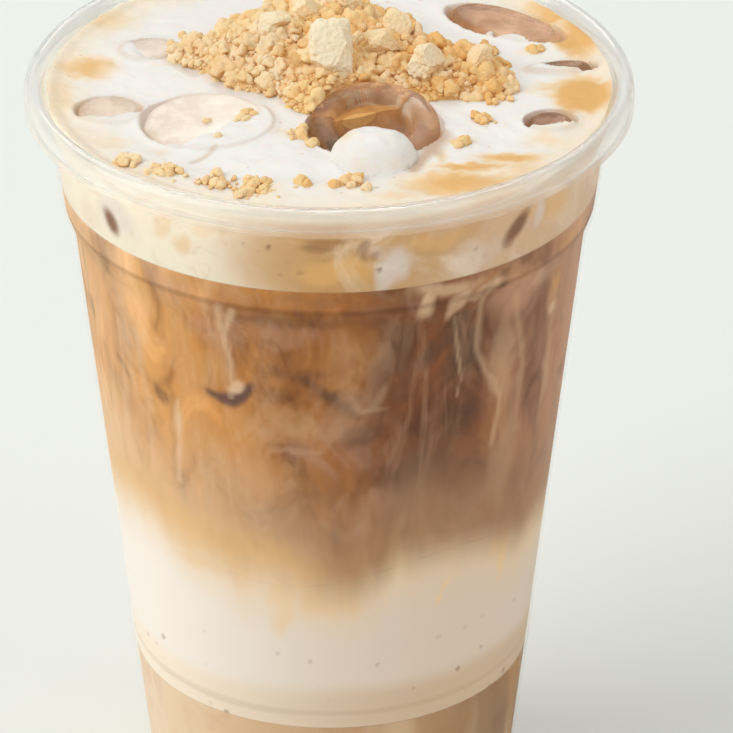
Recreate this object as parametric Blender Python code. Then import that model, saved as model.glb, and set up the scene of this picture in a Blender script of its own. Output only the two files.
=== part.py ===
"""Iced marzipan latte in a clear tapered cup, in metres with +Z up.

The origin is the centre of the cup's foot, on the surface that it stands on. The drink's
front faces -Y. The contents are stacked layers: syrup on the floor, milk, coffee and foam,
with ice afloat in the foam and a heap of marzipan crumble on it.
"""

import math
import random

import bpy
import bmesh
from mathutils import Euler, Matrix, Vector, noise

MM = 0.001
GAP = 0.3 * MM

# Cup, turned about Z
CUP_HEIGHT = 140.0 * MM
RIM_RADIUS = 49.0 * MM
BASE_RADIUS = 29.2 * MM
WALL = 0.8 * MM
TURN_STEPS = 48
STEP_LOW = 115.0 * MM
STEP_HIGH = 119.0 * MM
STEP_LOW_RADIUS = 42.0 * MM
STEP_HIGH_RADIUS = 43.5 * MM
COLLAR_TOP = 136.2 * MM
COLLAR_TOP_RADIUS = 45.6 * MM
BEAD_HALF_WIDTH = 1.6 * MM
BEAD_HALF_HEIGHT = 2.4 * MM
BEAD_STEPS = 10
GROOVE_HEIGHT = 37.0 * MM
GROOVE_HALF = 0.8 * MM
GROOVE_DEPTH = 0.3 * MM
FOOT_INNER_RADIUS = 25.6 * MM
FOOT_OUTER_RADIUS = 28.0 * MM
FOOT_ROUND = 1.2 * MM
RECESS = 1.8 * MM
FLOOR_TOP = 2.8 * MM
FLOOR_FILLET = 1.6 * MM

# Levels of the drink's layers
SYRUP_LEVEL = 37.0 * MM
MILK_LEVEL = 67.7 * MM
MILK_WAVE = 2.2 * MM
MILK_LOBES = 4
MILK_LOBE_TURN = math.radians(33.0)
COFFEE_LEVEL = 123.2 * MM
FOAM_LEVEL = 138.0 * MM
WAVY_RINGS = 4
FOAM_RINGS = 8
FOAM_RELIEF = 0.5 * MM
FOAM_SWELL = 14.0 * MM
FLAT_UNDER_HEAP = 1.15
SWELL_RISE = 0.3

# Rounded blob of foam that leans over the front ice
DOME_CENTRE = (7.0 * MM, -25.0 * MM)
DOME_RADII = (7.2 * MM, 5.4 * MM, 3.1 * MM)

# Heap of crumble: its outline, its height and the sizes of its crumbs
HEAP_CENTRE = (-1.7 * MM, 8.8 * MM)
HEAP_RADII = (18.0 * MM, 22.0 * MM)
HEAP_HEIGHT = 6.2 * MM
HEAP_EDGE = 0.8 * MM
HEAP_FULLNESS = 1.15
HEAP_CORE = 0.93
HEAP_CRUMBED = 0.97
HEAP_STEPS = 36
HEAP_RINGS = 4
HEAP_SEED = 7
LARGE_CRUMBS = 36
SMALL_CRUMBS = 60
LARGE_CRUMB_RADIUS = (1.9 * MM, 2.6 * MM)
SMALL_CRUMB_RADIUS = (1.2 * MM, 1.8 * MM)
CRUMB_SINK = 0.3
CRUMB_ROUGHNESS = 0.16
CRUMB_STRETCH = 0.18
CRUMB_ROOM = 0.4
HEAP_LOBES = (
    # heading from the heap's centre, reach beyond the plain oval, width
    (math.radians(-13.0), 0.87, math.radians(18.5)),
    (math.radians(178.0), 0.38, math.radians(11.0)),
    (math.radians(-124.0), -0.28, math.radians(21.0)),
)
CHUNKS = (
    # east and north of the cup's axis, radius
    (1.0 * MM, -1.5 * MM, 4.4 * MM),
    (15.5 * MM, -1.0 * MM, 3.3 * MM),
    (8.5 * MM, 1.5 * MM, 2.9 * MM),
    (-9.0 * MM, 8.0 * MM, 2.9 * MM),
    (2.0 * MM, 18.0 * MM, 3.1 * MM),
    (24.0 * MM, 2.0 * MM, 2.6 * MM),
    (11.0 * MM, 8.5 * MM, 2.8 * MM),
)

# Crumbs that lie on the foam: east and north of the axis, spread, number
SCATTER_SEED = 5
SCATTER_RADIUS = (1.0 * MM, 1.6 * MM)
SCATTER_DEPTH = 0.6
SCATTER = (
    (-31.7 * MM, -27.6 * MM, 1.4 * MM, 3),
    (-25.8 * MM, -31.1 * MM, 2.2 * MM, 4),
    (-17.9 * MM, -35.0 * MM, 2.0 * MM, 3),
    (-11.7 * MM, -37.3 * MM, 2.6 * MM, 6),
    (-4.2 * MM, -35.2 * MM, 1.2 * MM, 2),
    (3.4 * MM, -34.5 * MM, 2.0 * MM, 3),
    (24.6 * MM, -13.0 * MM, 1.4 * MM, 3),
    (20.8 * MM, -21.6 * MM, 0.9 * MM, 1),
    (33.5 * MM, 12.5 * MM, 0.9 * MM, 1),
    (-6.4 * MM, -18.4 * MM, 1.5 * MM, 3),
)

# Ice: centre east and north, half length, half width, top above the foam, tilt towards
# the front, turn about Z, depth, facets round it
ICE = {
    "ice_front": (7.2 * MM, -15.5 * MM, 10.5 * MM, 10.5 * MM, 1.3 * MM, 14.0, 0.0, 8.5 * MM, 24),
    "ice_left": (-19.3 * MM, -13.6 * MM, 10.2 * MM, 9.4 * MM, 0.3 * MM, 5.0, 0.0, 8.0 * MM, 20),
    "ice_far_left": (-35.0 * MM, -9.2 * MM, 5.2 * MM, 4.6 * MM, 0.3 * MM, 7.0, 0.0, 6.0 * MM, 14),
    "ice_back_right": (28.7 * MM, 22.2 * MM, 10.2 * MM, 4.6 * MM, 0.6 * MM, 5.0, -33.0, 7.0 * MM, 18),
    "ice_right": (37.4 * MM, 6.0 * MM, 4.9 * MM, 1.7 * MM, 0.7 * MM, 4.0, 11.0, 6.0 * MM, 12),
    "ice_right_front": (35.2 * MM, -13.6 * MM, 3.8 * MM, 3.4 * MM, 0.5 * MM, 4.0, 0.0, 5.5 * MM, 12),
    "ice_back_left": (-29.3 * MM, 12.6 * MM, 4.6 * MM, 3.6 * MM, 0.6 * MM, 4.0, 20.0, 6.0 * MM, 12),
}
ICE_ROUND = 1.4 * MM
HOLLOW_RADIUS = 6.2 * MM
HOLLOW_LIP = 1.0 * MM
HOLLOW_DEPTH = 5.0 * MM
HOLLOW_FLOOR = 0.7

SHARP_ANGLE = math.radians(35.0)


def clear_scene():
    for obj in list(bpy.data.objects):
        bpy.data.objects.remove(obj)


def finish(name, colour, roughness, transmission=0.0):
    """A Principled material in the piece's own colour."""
    material = bpy.data.materials.new(name)
    material.use_nodes = True
    shader = material.node_tree.nodes["Principled BSDF"]
    shader.inputs["Base Color"].default_value = (*colour, 1.0)
    shader.inputs["Roughness"].default_value = roughness
    shader.inputs["Metallic"].default_value = 0.0
    shader.inputs["Transmission Weight"].default_value = transmission
    return material


def add_piece(name, bm, material=None):
    """A named object from a bmesh, with its faces pointing outwards."""
    bmesh.ops.recalc_face_normals(bm, faces=bm.faces)
    mesh = bpy.data.meshes.new(name)
    bm.to_mesh(mesh)
    bm.free()
    if material:
        mesh.materials.append(material)
    piece = bpy.data.objects.new(name, mesh)
    bpy.context.scene.collection.objects.link(piece)
    return piece


def move_to(piece, collection):
    """Takes a helper out of the scene's own collection."""
    bpy.context.scene.collection.objects.unlink(piece)
    collection.objects.link(piece)


def wall_radius(height):
    """The cup's outside radius on its plain wall, without the groove."""
    if height <= STEP_LOW:
        return BASE_RADIUS + (STEP_LOW_RADIUS - BASE_RADIUS) * height / STEP_LOW
    if height <= STEP_HIGH:
        part = (height - STEP_LOW) / (STEP_HIGH - STEP_LOW)
        return STEP_LOW_RADIUS + (STEP_HIGH_RADIUS - STEP_LOW_RADIUS) * part
    part = (height - STEP_HIGH) / (COLLAR_TOP - STEP_HIGH)
    return STEP_HIGH_RADIUS + (COLLAR_TOP_RADIUS - STEP_HIGH_RADIUS) * part


def inside_radius(height):
    """The cup's inside radius, with the fillet where the wall meets the floor."""
    fillet = max(0.0, FLOOR_TOP + FLOOR_FILLET - height)
    return wall_radius(height) - WALL - fillet


def turned(profile, steps):
    """A bmesh turned about Z from (radius, height) points whose ends lie on the axis."""
    bm = bmesh.new()
    points = [bm.verts.new((radius, 0.0, height)) for radius, height in profile]
    edges = [bm.edges.new(pair) for pair in zip(points, points[1:])]
    bmesh.ops.spin(
        bm,
        geom=points + edges,
        cent=(0, 0, 0),
        axis=(0, 0, 1),
        angle=math.tau,
        steps=steps,
        use_merge=True,
    )
    bmesh.ops.remove_doubles(bm, verts=bm.verts, dist=0.001 * MM)
    return bm


def bead_profile():
    """The rolled rim's section, from under the lip, round the top, to the inside."""
    centre_radius = RIM_RADIUS - BEAD_HALF_WIDTH
    centre_height = CUP_HEIGHT - BEAD_HALF_HEIGHT
    start, end = math.radians(-120), math.radians(150)
    points = []
    for index in range(BEAD_STEPS + 1):
        angle = start + (end - start) * index / BEAD_STEPS
        points.append((
            centre_radius + BEAD_HALF_WIDTH * math.cos(angle),
            centre_height + BEAD_HALF_HEIGHT * math.sin(angle),
        ))
    return points


def make_cup():
    outside = [
        (0.0, RECESS),
        (FOOT_INNER_RADIUS - RECESS, RECESS),
        (FOOT_INNER_RADIUS, 0.0),
        (FOOT_OUTER_RADIUS, 0.0),
        (wall_radius(FOOT_ROUND), FOOT_ROUND),
    ]
    for offset, depth in ((-GROOVE_HALF, 0.0), (0.0, GROOVE_DEPTH), (GROOVE_HALF, 0.0)):
        height = GROOVE_HEIGHT + offset
        outside.append((wall_radius(height) - depth, height))
    for height in (STEP_LOW, STEP_HIGH, COLLAR_TOP):
        outside.append((wall_radius(height), height))
    inside = [
        (inside_radius(height), height)
        for height in (COLLAR_TOP, STEP_HIGH, STEP_LOW, FLOOR_TOP + FLOOR_FILLET, FLOOR_TOP)
    ]
    profile = outside + bead_profile() + inside + [(0.0, FLOOR_TOP)]
    clear = finish("clear_plastic", (0.95, 0.96, 0.95), 0.08, transmission=0.9)
    return add_piece("cup", turned(profile, TURN_STEPS), clear)


def polar(radius, step, steps):
    angle = math.tau * step / steps
    return radius * math.cos(angle), radius * math.sin(angle)


def layer_mesh(low, high, stations=()):
    """A layer that fills the cup between two surfaces, each a height at (x, y) and its rings.

    The side follows the wall through the station heights that lie between them.
    """
    bm = bmesh.new()

    def surface(height_at, rings):
        rows = []
        for ring in range(1, rings + 1):
            row = []
            for step in range(TURN_STEPS):
                x, y = polar(1.0, step, TURN_STEPS)
                edge = inside_radius(height_at(x * BASE_RADIUS, y * BASE_RADIUS)) - GAP
                x, y = x * edge * ring / rings, y * edge * ring / rings
                row.append(bm.verts.new((x, y, height_at(x, y))))
            rows.append(row)
        centre = bm.verts.new((0.0, 0.0, height_at(0.0, 0.0)))
        return centre, rows

    top_centre, top_rows = surface(*high)
    low_centre, low_rows = surface(*low)
    side_rows = []
    for height in stations:
        row = []
        for step in range(TURN_STEPS):
            x, y = polar(inside_radius(height) - GAP, step, TURN_STEPS)
            row.append(bm.verts.new((x, y, height)))
        side_rows.append(row)
    rows = low_rows + side_rows + top_rows[::-1]
    for inner, outer in zip(rows, rows[1:]):
        for step in range(TURN_STEPS):
            after = (step + 1) % TURN_STEPS
            bm.faces.new((inner[step], inner[after], outer[after], outer[step]))
    for centre, row in ((top_centre, top_rows[0]), (low_centre, low_rows[0])):
        for step in range(TURN_STEPS):
            bm.faces.new((centre, row[step], row[(step + 1) % TURN_STEPS]))
    bmesh.ops.triangulate(bm, faces=bm.faces)
    return bm


def level(height):
    """A flat surface, which one ring describes."""
    return (lambda x, y: height), 1


def milk_surface(x, y):
    """The wavy boundary between milk and coffee, level on the axis."""
    radius = math.hypot(x, y)
    from_front = math.atan2(x, -y)
    wave = math.cos(MILK_LOBES * (from_front - MILK_LOBE_TURN))
    return MILK_LEVEL + MILK_WAVE * wave * min(1.0, radius / BASE_RADIUS)


def heap_reach(angle):
    """How far the heap's uneven outline lies along a heading, as a share of its oval."""
    reach = 1.0
    for heading, height, width in HEAP_LOBES:
        off = math.remainder(angle - heading, math.tau) / width
        reach += height * math.exp(-off * off)
    return reach


def heap_place(share, angle):
    """The point on the foam at a share of the way to the heap's outline."""
    reach = share * heap_reach(angle)
    return (
        HEAP_CENTRE[0] + HEAP_RADII[0] * reach * math.cos(angle),
        HEAP_CENTRE[1] + HEAP_RADII[1] * reach * math.sin(angle),
    )


def heap_share(x, y):
    """0 at the heap's centre and 1 on its uneven outline."""
    east = (x - HEAP_CENTRE[0]) / HEAP_RADII[0]
    north = (y - HEAP_CENTRE[1]) / HEAP_RADII[1]
    return math.hypot(east, north) / heap_reach(math.atan2(north, east))


def heap_height(x, y):
    share = min(1.0, heap_share(x, y))
    return FOAM_LEVEL + HEAP_EDGE + HEAP_HEIGHT * (1.0 - share**2) ** HEAP_FULLNESS


def foam_surface(x, y):
    """Gentle swells, flat under the heap so that it rests there."""
    swell = noise.noise(Vector((x, y, 0.0)) / FOAM_SWELL)
    clear_of_heap = min(1.0, max(0.0, (heap_share(x, y) - FLAT_UNDER_HEAP) / SWELL_RISE))
    return FOAM_LEVEL + FOAM_RELIEF * swell * clear_of_heap


def make_layers():
    """Syrup, milk and coffee, each filling the cup's width."""
    syrup = finish("syrup", (0.42, 0.24, 0.12), 0.25)
    milk = finish("milk", (0.90, 0.82, 0.68), 0.25)
    coffee = finish("coffee", (0.46, 0.24, 0.10), 0.25)
    bottom = level(FLOOR_TOP + GAP)
    mesh = layer_mesh(bottom, level(SYRUP_LEVEL - GAP), [FLOOR_TOP + FLOOR_FILLET])
    add_piece("syrup_layer", mesh, syrup)
    mesh = layer_mesh(level(SYRUP_LEVEL), (lambda x, y: milk_surface(x, y) - GAP, WAVY_RINGS))
    add_piece("milk_layer", mesh, milk)
    top = level(COFFEE_LEVEL - GAP)
    mesh = layer_mesh((milk_surface, WAVY_RINGS), top, [STEP_LOW, STEP_HIGH])
    add_piece("coffee_layer", mesh, coffee)


def crumb_mesh(bm, centre, radius, rng, detail=1):
    """One uneven crumb, a jittered and stretched icosphere."""
    sphere = bmesh.ops.create_icosphere(bm, subdivisions=detail, radius=radius)
    sides = (rng.uniform(1.0 - CRUMB_STRETCH, 1.0 + CRUMB_STRETCH) for _ in range(3))
    stretch = Matrix.Diagonal((*sides, 1.0))
    turn = Euler([rng.uniform(0, math.tau) for _ in range(3)]).to_matrix().to_4x4()
    place = Matrix.Translation(centre) @ turn @ stretch
    for vert in sphere["verts"]:
        vert.co *= 1.0 + rng.uniform(-CRUMB_ROUGHNESS, CRUMB_ROUGHNESS)
        vert.co = place @ vert.co


def add_crumb(collection, centre, radius, rng, detail=1):
    bm = bmesh.new()
    crumb_mesh(bm, centre, radius, rng, detail)
    move_to(add_piece(f"crumb_{len(collection.objects)}", bm), collection)


def apply_boolean(piece, operation, collection):
    """Joins or cuts the piece with all that the collection holds, then removes that."""
    modifier = piece.modifiers.new(operation.lower(), "BOOLEAN")
    modifier.operation = operation
    modifier.operand_type = "COLLECTION"
    modifier.collection = collection
    graph = bpy.context.evaluated_depsgraph_get()
    mesh = bpy.data.meshes.new_from_object(piece.evaluated_get(graph))
    piece.modifiers.remove(modifier)
    piece.data = mesh
    for obj in list(collection.objects):
        bpy.data.objects.remove(obj)
    bpy.data.collections.remove(collection)


def helper_collection(name):
    collection = bpy.data.collections.new(name)
    bpy.context.scene.collection.children.link(collection)
    return collection


def keep_largest_body(piece):
    """Drops the loose scraps that a cut can leave."""
    bm = bmesh.new()
    bm.from_mesh(piece.data)
    unseen = set(bm.verts)
    bodies = []
    while unseen:
        body = [unseen.pop()]
        for vert in body:
            near = [edge.other_vert(vert) for edge in vert.link_edges]
            fresh = [other for other in near if other in unseen]
            body.extend(fresh)
            unseen.difference_update(fresh)
        bodies.append(body)
    bodies.sort(key=len)
    scraps = [vert for body in bodies[:-1] for vert in body]
    bmesh.ops.delete(bm, geom=scraps, context="VERTS")
    bm.to_mesh(piece.data)
    bm.free()


def ice_profile(length, depth, grow, hollow):
    """Half section of a rounded ice piece with its top at height 0, ends on the axis."""
    radius, top, low = length + grow, grow, -depth - grow
    points = []
    if hollow:
        points += [(0.0, -HOLLOW_DEPTH), (HOLLOW_RADIUS * HOLLOW_FLOOR, -HOLLOW_DEPTH)]
        points += [(HOLLOW_RADIUS, -HOLLOW_DEPTH * 0.4), (HOLLOW_RADIUS + HOLLOW_LIP, top)]
    else:
        points += [(0.0, top)]
    points += [(radius - ICE_ROUND, top), (radius - 0.3 * ICE_ROUND, top - 0.3 * ICE_ROUND)]
    points += [(radius, top - ICE_ROUND), (radius, low + ICE_ROUND)]
    points += [(radius - ICE_ROUND, low), (0.0, low)]
    return points


def ice_piece(name, grow=0.0, material=None):
    """An ice piece in its place. With grow it is the larger shape that clears room for it."""
    east, north, length, width, top, tilt, turn, depth, facets = ICE[name]
    hollow = name == "ice_front" and grow == 0.0
    bm = turned(ice_profile(length, depth, grow, hollow), facets)
    stretch = Matrix.Diagonal((1.0, (width + grow) / (length + grow), 1.0, 1.0))
    lean = Matrix.Rotation(math.radians(tilt), 4, "X")
    heading = Matrix.Rotation(math.radians(turn), 4, "Z")
    place = Matrix.Translation((east, north, FOAM_LEVEL + top))
    bm.transform(place @ lean @ heading @ stretch)
    return add_piece(name if grow == 0.0 else f"{name}_room", bm, material)


def ice_room(names):
    """A collection of cutters that keep a piece clear of the named ice."""
    collection = helper_collection("ice_room")
    for name in names:
        cutter = ice_piece(name, grow=GAP)
        move_to(cutter, collection)
        cutter.hide_render = True
        cutter.display_type = "WIRE"
    return collection


def make_ice():
    material = finish("ice", (0.80, 0.72, 0.62), 0.12, transmission=0.5)
    for name in ICE:
        ice_piece(name, material=material)


def add_dome(collection):
    """The blob of foam over the front ice."""
    bm = bmesh.new()
    bmesh.ops.create_uvsphere(bm, u_segments=16, v_segments=8, radius=1.0)
    stretch = Matrix.Diagonal((*DOME_RADII, 1.0))
    bm.transform(Matrix.Translation((*DOME_CENTRE, FOAM_LEVEL - 0.2 * MM)) @ stretch)
    move_to(add_piece("foam_dome", bm), collection)


def make_foam():
    """The foam layer with its dome and the crumbs that lie on it, cut round the ice."""
    material = finish("foam", (0.92, 0.86, 0.76), 0.5)
    mesh = layer_mesh(level(COFFEE_LEVEL), (foam_surface, FOAM_RINGS))
    foam = add_piece("foam_layer", mesh, material)
    toppings = helper_collection("foam_toppings")
    add_dome(toppings)
    rng = random.Random(SCATTER_SEED)
    for east, north, spread, number in SCATTER:
        for _ in range(number):
            x = east + rng.uniform(-spread, spread)
            y = north + rng.uniform(-spread, spread) * SCATTER_DEPTH
            radius = rng.uniform(*SCATTER_RADIUS)
            height = foam_surface(x, y) + CRUMB_SINK * radius
            add_crumb(toppings, Vector((x, y, height)), radius, rng)
    apply_boolean(foam, "UNION", toppings)
    apply_boolean(foam, "DIFFERENCE", ice_room(ICE))
    keep_largest_body(foam)
    return foam


def heap_core():
    """The heap's smooth body, which the crumbs are fused to."""
    bm = bmesh.new()
    sole = FOAM_LEVEL
    rows = []
    for ring in range(1, HEAP_RINGS + 1):
        row = []
        for step in range(HEAP_STEPS):
            angle = math.tau * step / HEAP_STEPS
            x, y = heap_place(HEAP_CORE * ring / HEAP_RINGS, angle)
            row.append(bm.verts.new((x, y, heap_height(x, y))))
        rows.append(row)
    rows.append([bm.verts.new((vert.co.x, vert.co.y, sole)) for vert in rows[-1]])
    for inner, outer in zip(rows, rows[1:]):
        for step in range(HEAP_STEPS):
            after = (step + 1) % HEAP_STEPS
            bm.faces.new((inner[step], inner[after], outer[after], outer[step]))
    for row, height in ((rows[0], heap_height(*HEAP_CENTRE)), (rows[-1], sole)):
        centre = bm.verts.new((*HEAP_CENTRE, height))
        for step in range(HEAP_STEPS):
            bm.faces.new((centre, row[step], row[(step + 1) % HEAP_STEPS]))
    bmesh.ops.triangulate(bm, faces=bm.faces)
    return bm


def spread_crumbs(number, radii, taken, rng):
    """Places for crumbs over the heap, each clear of those already taken."""
    found = []
    while len(found) < number:
        x, y = heap_place(HEAP_CRUMBED * math.sqrt(rng.random()), rng.uniform(0, math.tau))
        radius = rng.uniform(*radii)
        if min(math.hypot(x - a, y - b) - c for a, b, c in taken) < CRUMB_ROOM * radius:
            continue
        taken.append((x, y, radius))
        found.append((x, y, radius))
    return found


def make_heap():
    """The marzipan crumble: a core with its crumbs fused on, clear of the ice and the foam."""
    material = finish("marzipan_crumble", (0.80, 0.56, 0.27), 0.8)
    heap = add_piece("crumble_heap", heap_core(), material)
    crumbs = helper_collection("heap_crumbs")
    rng = random.Random(HEAP_SEED)
    taken = list(CHUNKS)
    for x, y, radius in CHUNKS:
        centre = Vector((x, y, heap_height(x, y) + CRUMB_SINK * radius))
        add_crumb(crumbs, centre, radius, rng, detail=2)
    places = spread_crumbs(LARGE_CRUMBS, LARGE_CRUMB_RADIUS, taken, rng)
    places += spread_crumbs(SMALL_CRUMBS, SMALL_CRUMB_RADIUS, taken, rng)
    for x, y, radius in places:
        height = heap_height(x, y) + CRUMB_SINK * radius
        add_crumb(crumbs, Vector((x, y, height)), radius, rng)
    apply_boolean(heap, "UNION", crumbs)
    room = ice_room(("ice_front", "ice_left", "ice_back_left", "ice_back_right"))
    bm = bmesh.new()
    bmesh.ops.create_cube(bm, size=1.0)
    side = 4 * RIM_RADIUS
    centre = Vector((0.0, 0.0, FOAM_LEVEL + GAP - side / 2))
    bm.transform(Matrix.Translation(centre) @ Matrix.Scale(side, 4))
    below = add_piece("below_heap", bm)
    below.hide_render = True
    below.display_type = "WIRE"
    move_to(below, room)
    apply_boolean(heap, "DIFFERENCE", room)
    keep_largest_body(heap)
    return heap


def gather_under_empty():
    """One empty at the foot's centre carries every piece."""
    carrier = bpy.data.objects.new("latte", None)
    bpy.context.scene.collection.objects.link(carrier)
    for piece in list(bpy.context.scene.objects):
        if piece.type == "MESH":
            piece.parent = carrier
            piece.data.shade_smooth()
            piece.data.set_sharp_from_angle(angle=SHARP_ANGLE)


clear_scene()
make_cup()
make_layers()
make_ice()
make_foam()
make_heap()
gather_under_empty()
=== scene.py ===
import math
import random
from functools import partial
from typing import NamedTuple

import bmesh
import bpy
import numpy as np
from mathutils import Matrix, Vector, noise


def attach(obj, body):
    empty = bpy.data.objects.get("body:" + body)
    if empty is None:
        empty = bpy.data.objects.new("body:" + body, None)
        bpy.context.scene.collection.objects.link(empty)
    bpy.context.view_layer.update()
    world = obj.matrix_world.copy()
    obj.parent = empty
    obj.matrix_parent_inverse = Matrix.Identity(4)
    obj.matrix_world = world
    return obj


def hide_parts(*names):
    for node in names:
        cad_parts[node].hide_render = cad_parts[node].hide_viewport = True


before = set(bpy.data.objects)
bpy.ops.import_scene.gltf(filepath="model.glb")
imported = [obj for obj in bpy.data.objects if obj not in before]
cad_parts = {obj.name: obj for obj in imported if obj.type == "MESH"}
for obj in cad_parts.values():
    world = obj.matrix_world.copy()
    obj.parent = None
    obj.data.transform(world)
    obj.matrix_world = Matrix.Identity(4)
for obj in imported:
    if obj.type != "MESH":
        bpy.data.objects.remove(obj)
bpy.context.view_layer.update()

# The studio: one pale floor that runs out of sight, a large soft lamp high on the left, a
# weaker warm one on the right, and one behind that lights the foam and the rim. The camera
# stands in front and looks down at the drink at the photograph's angle.
MM = 0.001
PALE_FLOOR = (0.86, 0.895, 0.86)
WORLD_LIGHT = ((1.0, 1.0, 0.985), 0.47)
CAMERA_PLACE = (0.00595, -0.900, 0.5766)
CAMERA_DOWN = math.radians(28.57)
CAMERA_LENS = 306.1
LAMPS = (
    # name, place, width, watts, colour
    ("key", (-1.9, -0.9, 1.9), 2.2, 44.0, (1.0, 0.985, 0.96)),
    ("fill", (1.5, -1.0, 0.8), 1.2, 7.5, (1.0, 0.95, 0.88)),
    ("back", (-0.2, 1.6, 1.7), 1.2, 12.0, (1.0, 0.99, 0.97)),
)
LAMP_TARGET = Vector((0.0, 0.0, 0.09))
FLOOR_HALF = 6.0

scene = bpy.context.scene
scene.view_settings.view_transform = "Standard"
scene.world = bpy.data.worlds.new("studio")
scene.world.use_nodes = True
world_shader = scene.world.node_tree.nodes["Background"]
world_shader.inputs["Color"].default_value = (*WORLD_LIGHT[0], 1.0)
world_shader.inputs["Strength"].default_value = WORLD_LIGHT[1]

for lamp_name, place, width, watts, colour in LAMPS:
    lamp_data = bpy.data.lights.new(lamp_name, "AREA")
    lamp_data.size = width
    lamp_data.energy = watts
    lamp_data.color = colour
    lamp = bpy.data.objects.new(lamp_name, lamp_data)
    lamp.location = place
    lamp.rotation_euler = (LAMP_TARGET - Vector(place)).to_track_quat("-Z", "Y").to_euler()
    scene.collection.objects.link(lamp)

camera_data = bpy.data.cameras.new("camera")
camera_data.lens = CAMERA_LENS
camera = bpy.data.objects.new("camera", camera_data)
camera.location = CAMERA_PLACE
camera.rotation_euler = (math.pi / 2 - CAMERA_DOWN, 0.0, 0.0)
scene.collection.objects.link(camera)
scene.camera = camera

floor_mesh = bpy.data.meshes.new("floor")
floor_corners = [(FLOOR_HALF * east, FLOOR_HALF * north, 0.0)
                 for east, north in ((-1, -1), (1, -1), (1, 1), (-1, 1))]
floor_mesh.from_pydata(floor_corners, [], [(0, 1, 2, 3)])
floor = bpy.data.objects.new("floor", floor_mesh)
scene.collection.objects.link(floor)
floor_finish = bpy.data.materials.new("pale_floor")
floor_finish.use_nodes = True
floor_shader = floor_finish.node_tree.nodes["Principled BSDF"]
floor_shader.inputs["Base Color"].default_value = (*PALE_FLOOR, 1.0)
floor_shader.inputs["Roughness"].default_value = 0.9
floor_shader.inputs["Specular IOR Level"].default_value = 0.1
floor_mesh.materials.append(floor_finish)


# The cup: thin clear plastic, drawn into a mould and so the same all round. The wall leans
# outwards, steps out where stacked cups rest on each other, and its edge is rolled outwards
# and down into a hollow curl. A shallow groove runs round it near the foot.
CUP_HEIGHT = 140.0 * MM
RIM_RADIUS = 49.0 * MM
BASE_RADIUS = 29.2 * MM
WALL = 0.8 * MM
STEP_LOW, STEP_LOW_RADIUS = 115.0 * MM, 42.0 * MM
STEP_HIGH, STEP_HIGH_RADIUS = 119.0 * MM, 43.5 * MM
COLLAR_TOP, COLLAR_TOP_RADIUS = 136.2 * MM, 45.6 * MM
CURL_HALF_WIDTH = 1.6 * MM
CURL_HALF_HEIGHT = 2.4 * MM
CURL_PLASTIC = 0.55 * MM
CURL_LOW = CUP_HEIGHT - 2 * CURL_HALF_HEIGHT
THIN_WALL_CLEAR = 0.86
CURL_CLEAR = 0.30
GROOVE_HEIGHT, GROOVE_HALF, GROOVE_DEPTH = 37.0 * MM, 0.8 * MM, 0.3 * MM
FOOT_INNER_RADIUS, FOOT_OUTER_RADIUS = 25.6 * MM, 28.0 * MM
RECESS = 1.8 * MM
FOOT_ROUND = 1.2 * MM
FLOOR_TOP, FLOOR_FILLET = 2.8 * MM, 1.6 * MM
NEAR_AXIS = 0.001 * MM
CURL_LIP = (0.2 * MM, 0.25 * MM)
CURL_LIP_SHIFT = (0.86, -0.82)
GROOVE_STEPS = 9
PROFILE_SPACING = 6.0 * MM
CUP_FACETS = 256
SHARP_CORNER = math.radians(50.0)


def wall_radius(height):
    """The cup's outside radius on its plain wall."""
    heights = (0.0, STEP_LOW, STEP_HIGH, COLLAR_TOP, CUP_HEIGHT)
    rise = (COLLAR_TOP_RADIUS - STEP_HIGH_RADIUS) / (COLLAR_TOP - STEP_HIGH)
    beyond = COLLAR_TOP_RADIUS + rise * (CUP_HEIGHT - COLLAR_TOP)
    radii = (BASE_RADIUS, STEP_LOW_RADIUS, STEP_HIGH_RADIUS, COLLAR_TOP_RADIUS, beyond)
    return np.interp(height, heights, radii)


def inside_radius(height):
    """The cup's inside radius, with the fillet at its floor."""
    fillet = np.maximum(0.0, FLOOR_TOP + FLOOR_FILLET - height)
    return wall_radius(height) - WALL - fillet


def arc(centre, radii, start, end, count):
    """Points on an oval arc, in degrees from the +radius direction."""
    angles = np.radians(np.linspace(start, end, count))
    across = centre[0] + radii[0] * np.cos(angles)
    return list(zip(across, centre[1] + radii[1] * np.sin(angles)))


def smooth_line(points, spacing):
    """The profile's straight runs cut to even lengths, so that shading stays even."""
    line = [points[0]]
    for start, end in zip(points, points[1:]):
        parts = max(1, math.ceil(math.dist(start, end) / spacing))
        for part in range(1, parts + 1):
            line.append(tuple(np.array(start) + (np.array(end) - start) * part / parts))
    return line


def ringed_piece(name, rows, material):
    """A closed mesh from rings of points round Z, each end closed by a middle point."""
    rows = np.asarray(rows, float)
    count, facets = rows.shape[:2]
    points = np.vstack([rows.reshape(-1, 3), rows[0].mean(0), rows[-1].mean(0)])
    ring, step = np.mgrid[0:count - 1, 0:facets]
    after = (step + 1) % facets
    quads = np.stack([ring * facets + step, ring * facets + after,
                      (ring + 1) * facets + after, (ring + 1) * facets + step], -1)
    faces = quads.reshape(-1, 4).tolist()
    last = (count - 1) * facets
    for step in range(facets):
        after = (step + 1) % facets
        faces.append((after, step, count * facets))
        faces.append((last + step, last + after, count * facets + 1))
    mesh = bpy.data.meshes.new(name)
    mesh.from_pydata(points.tolist(), [], faces)
    shell = bmesh.new()
    shell.from_mesh(mesh)
    bmesh.ops.recalc_face_normals(shell, faces=shell.faces)
    shell.to_mesh(mesh)
    shell.free()
    mesh.shade_smooth()
    mesh.set_sharp_from_angle(angle=SHARP_CORNER)
    mesh.materials.append(material)
    piece = bpy.data.objects.new(name, mesh)
    scene.collection.objects.link(piece)
    return piece


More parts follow.
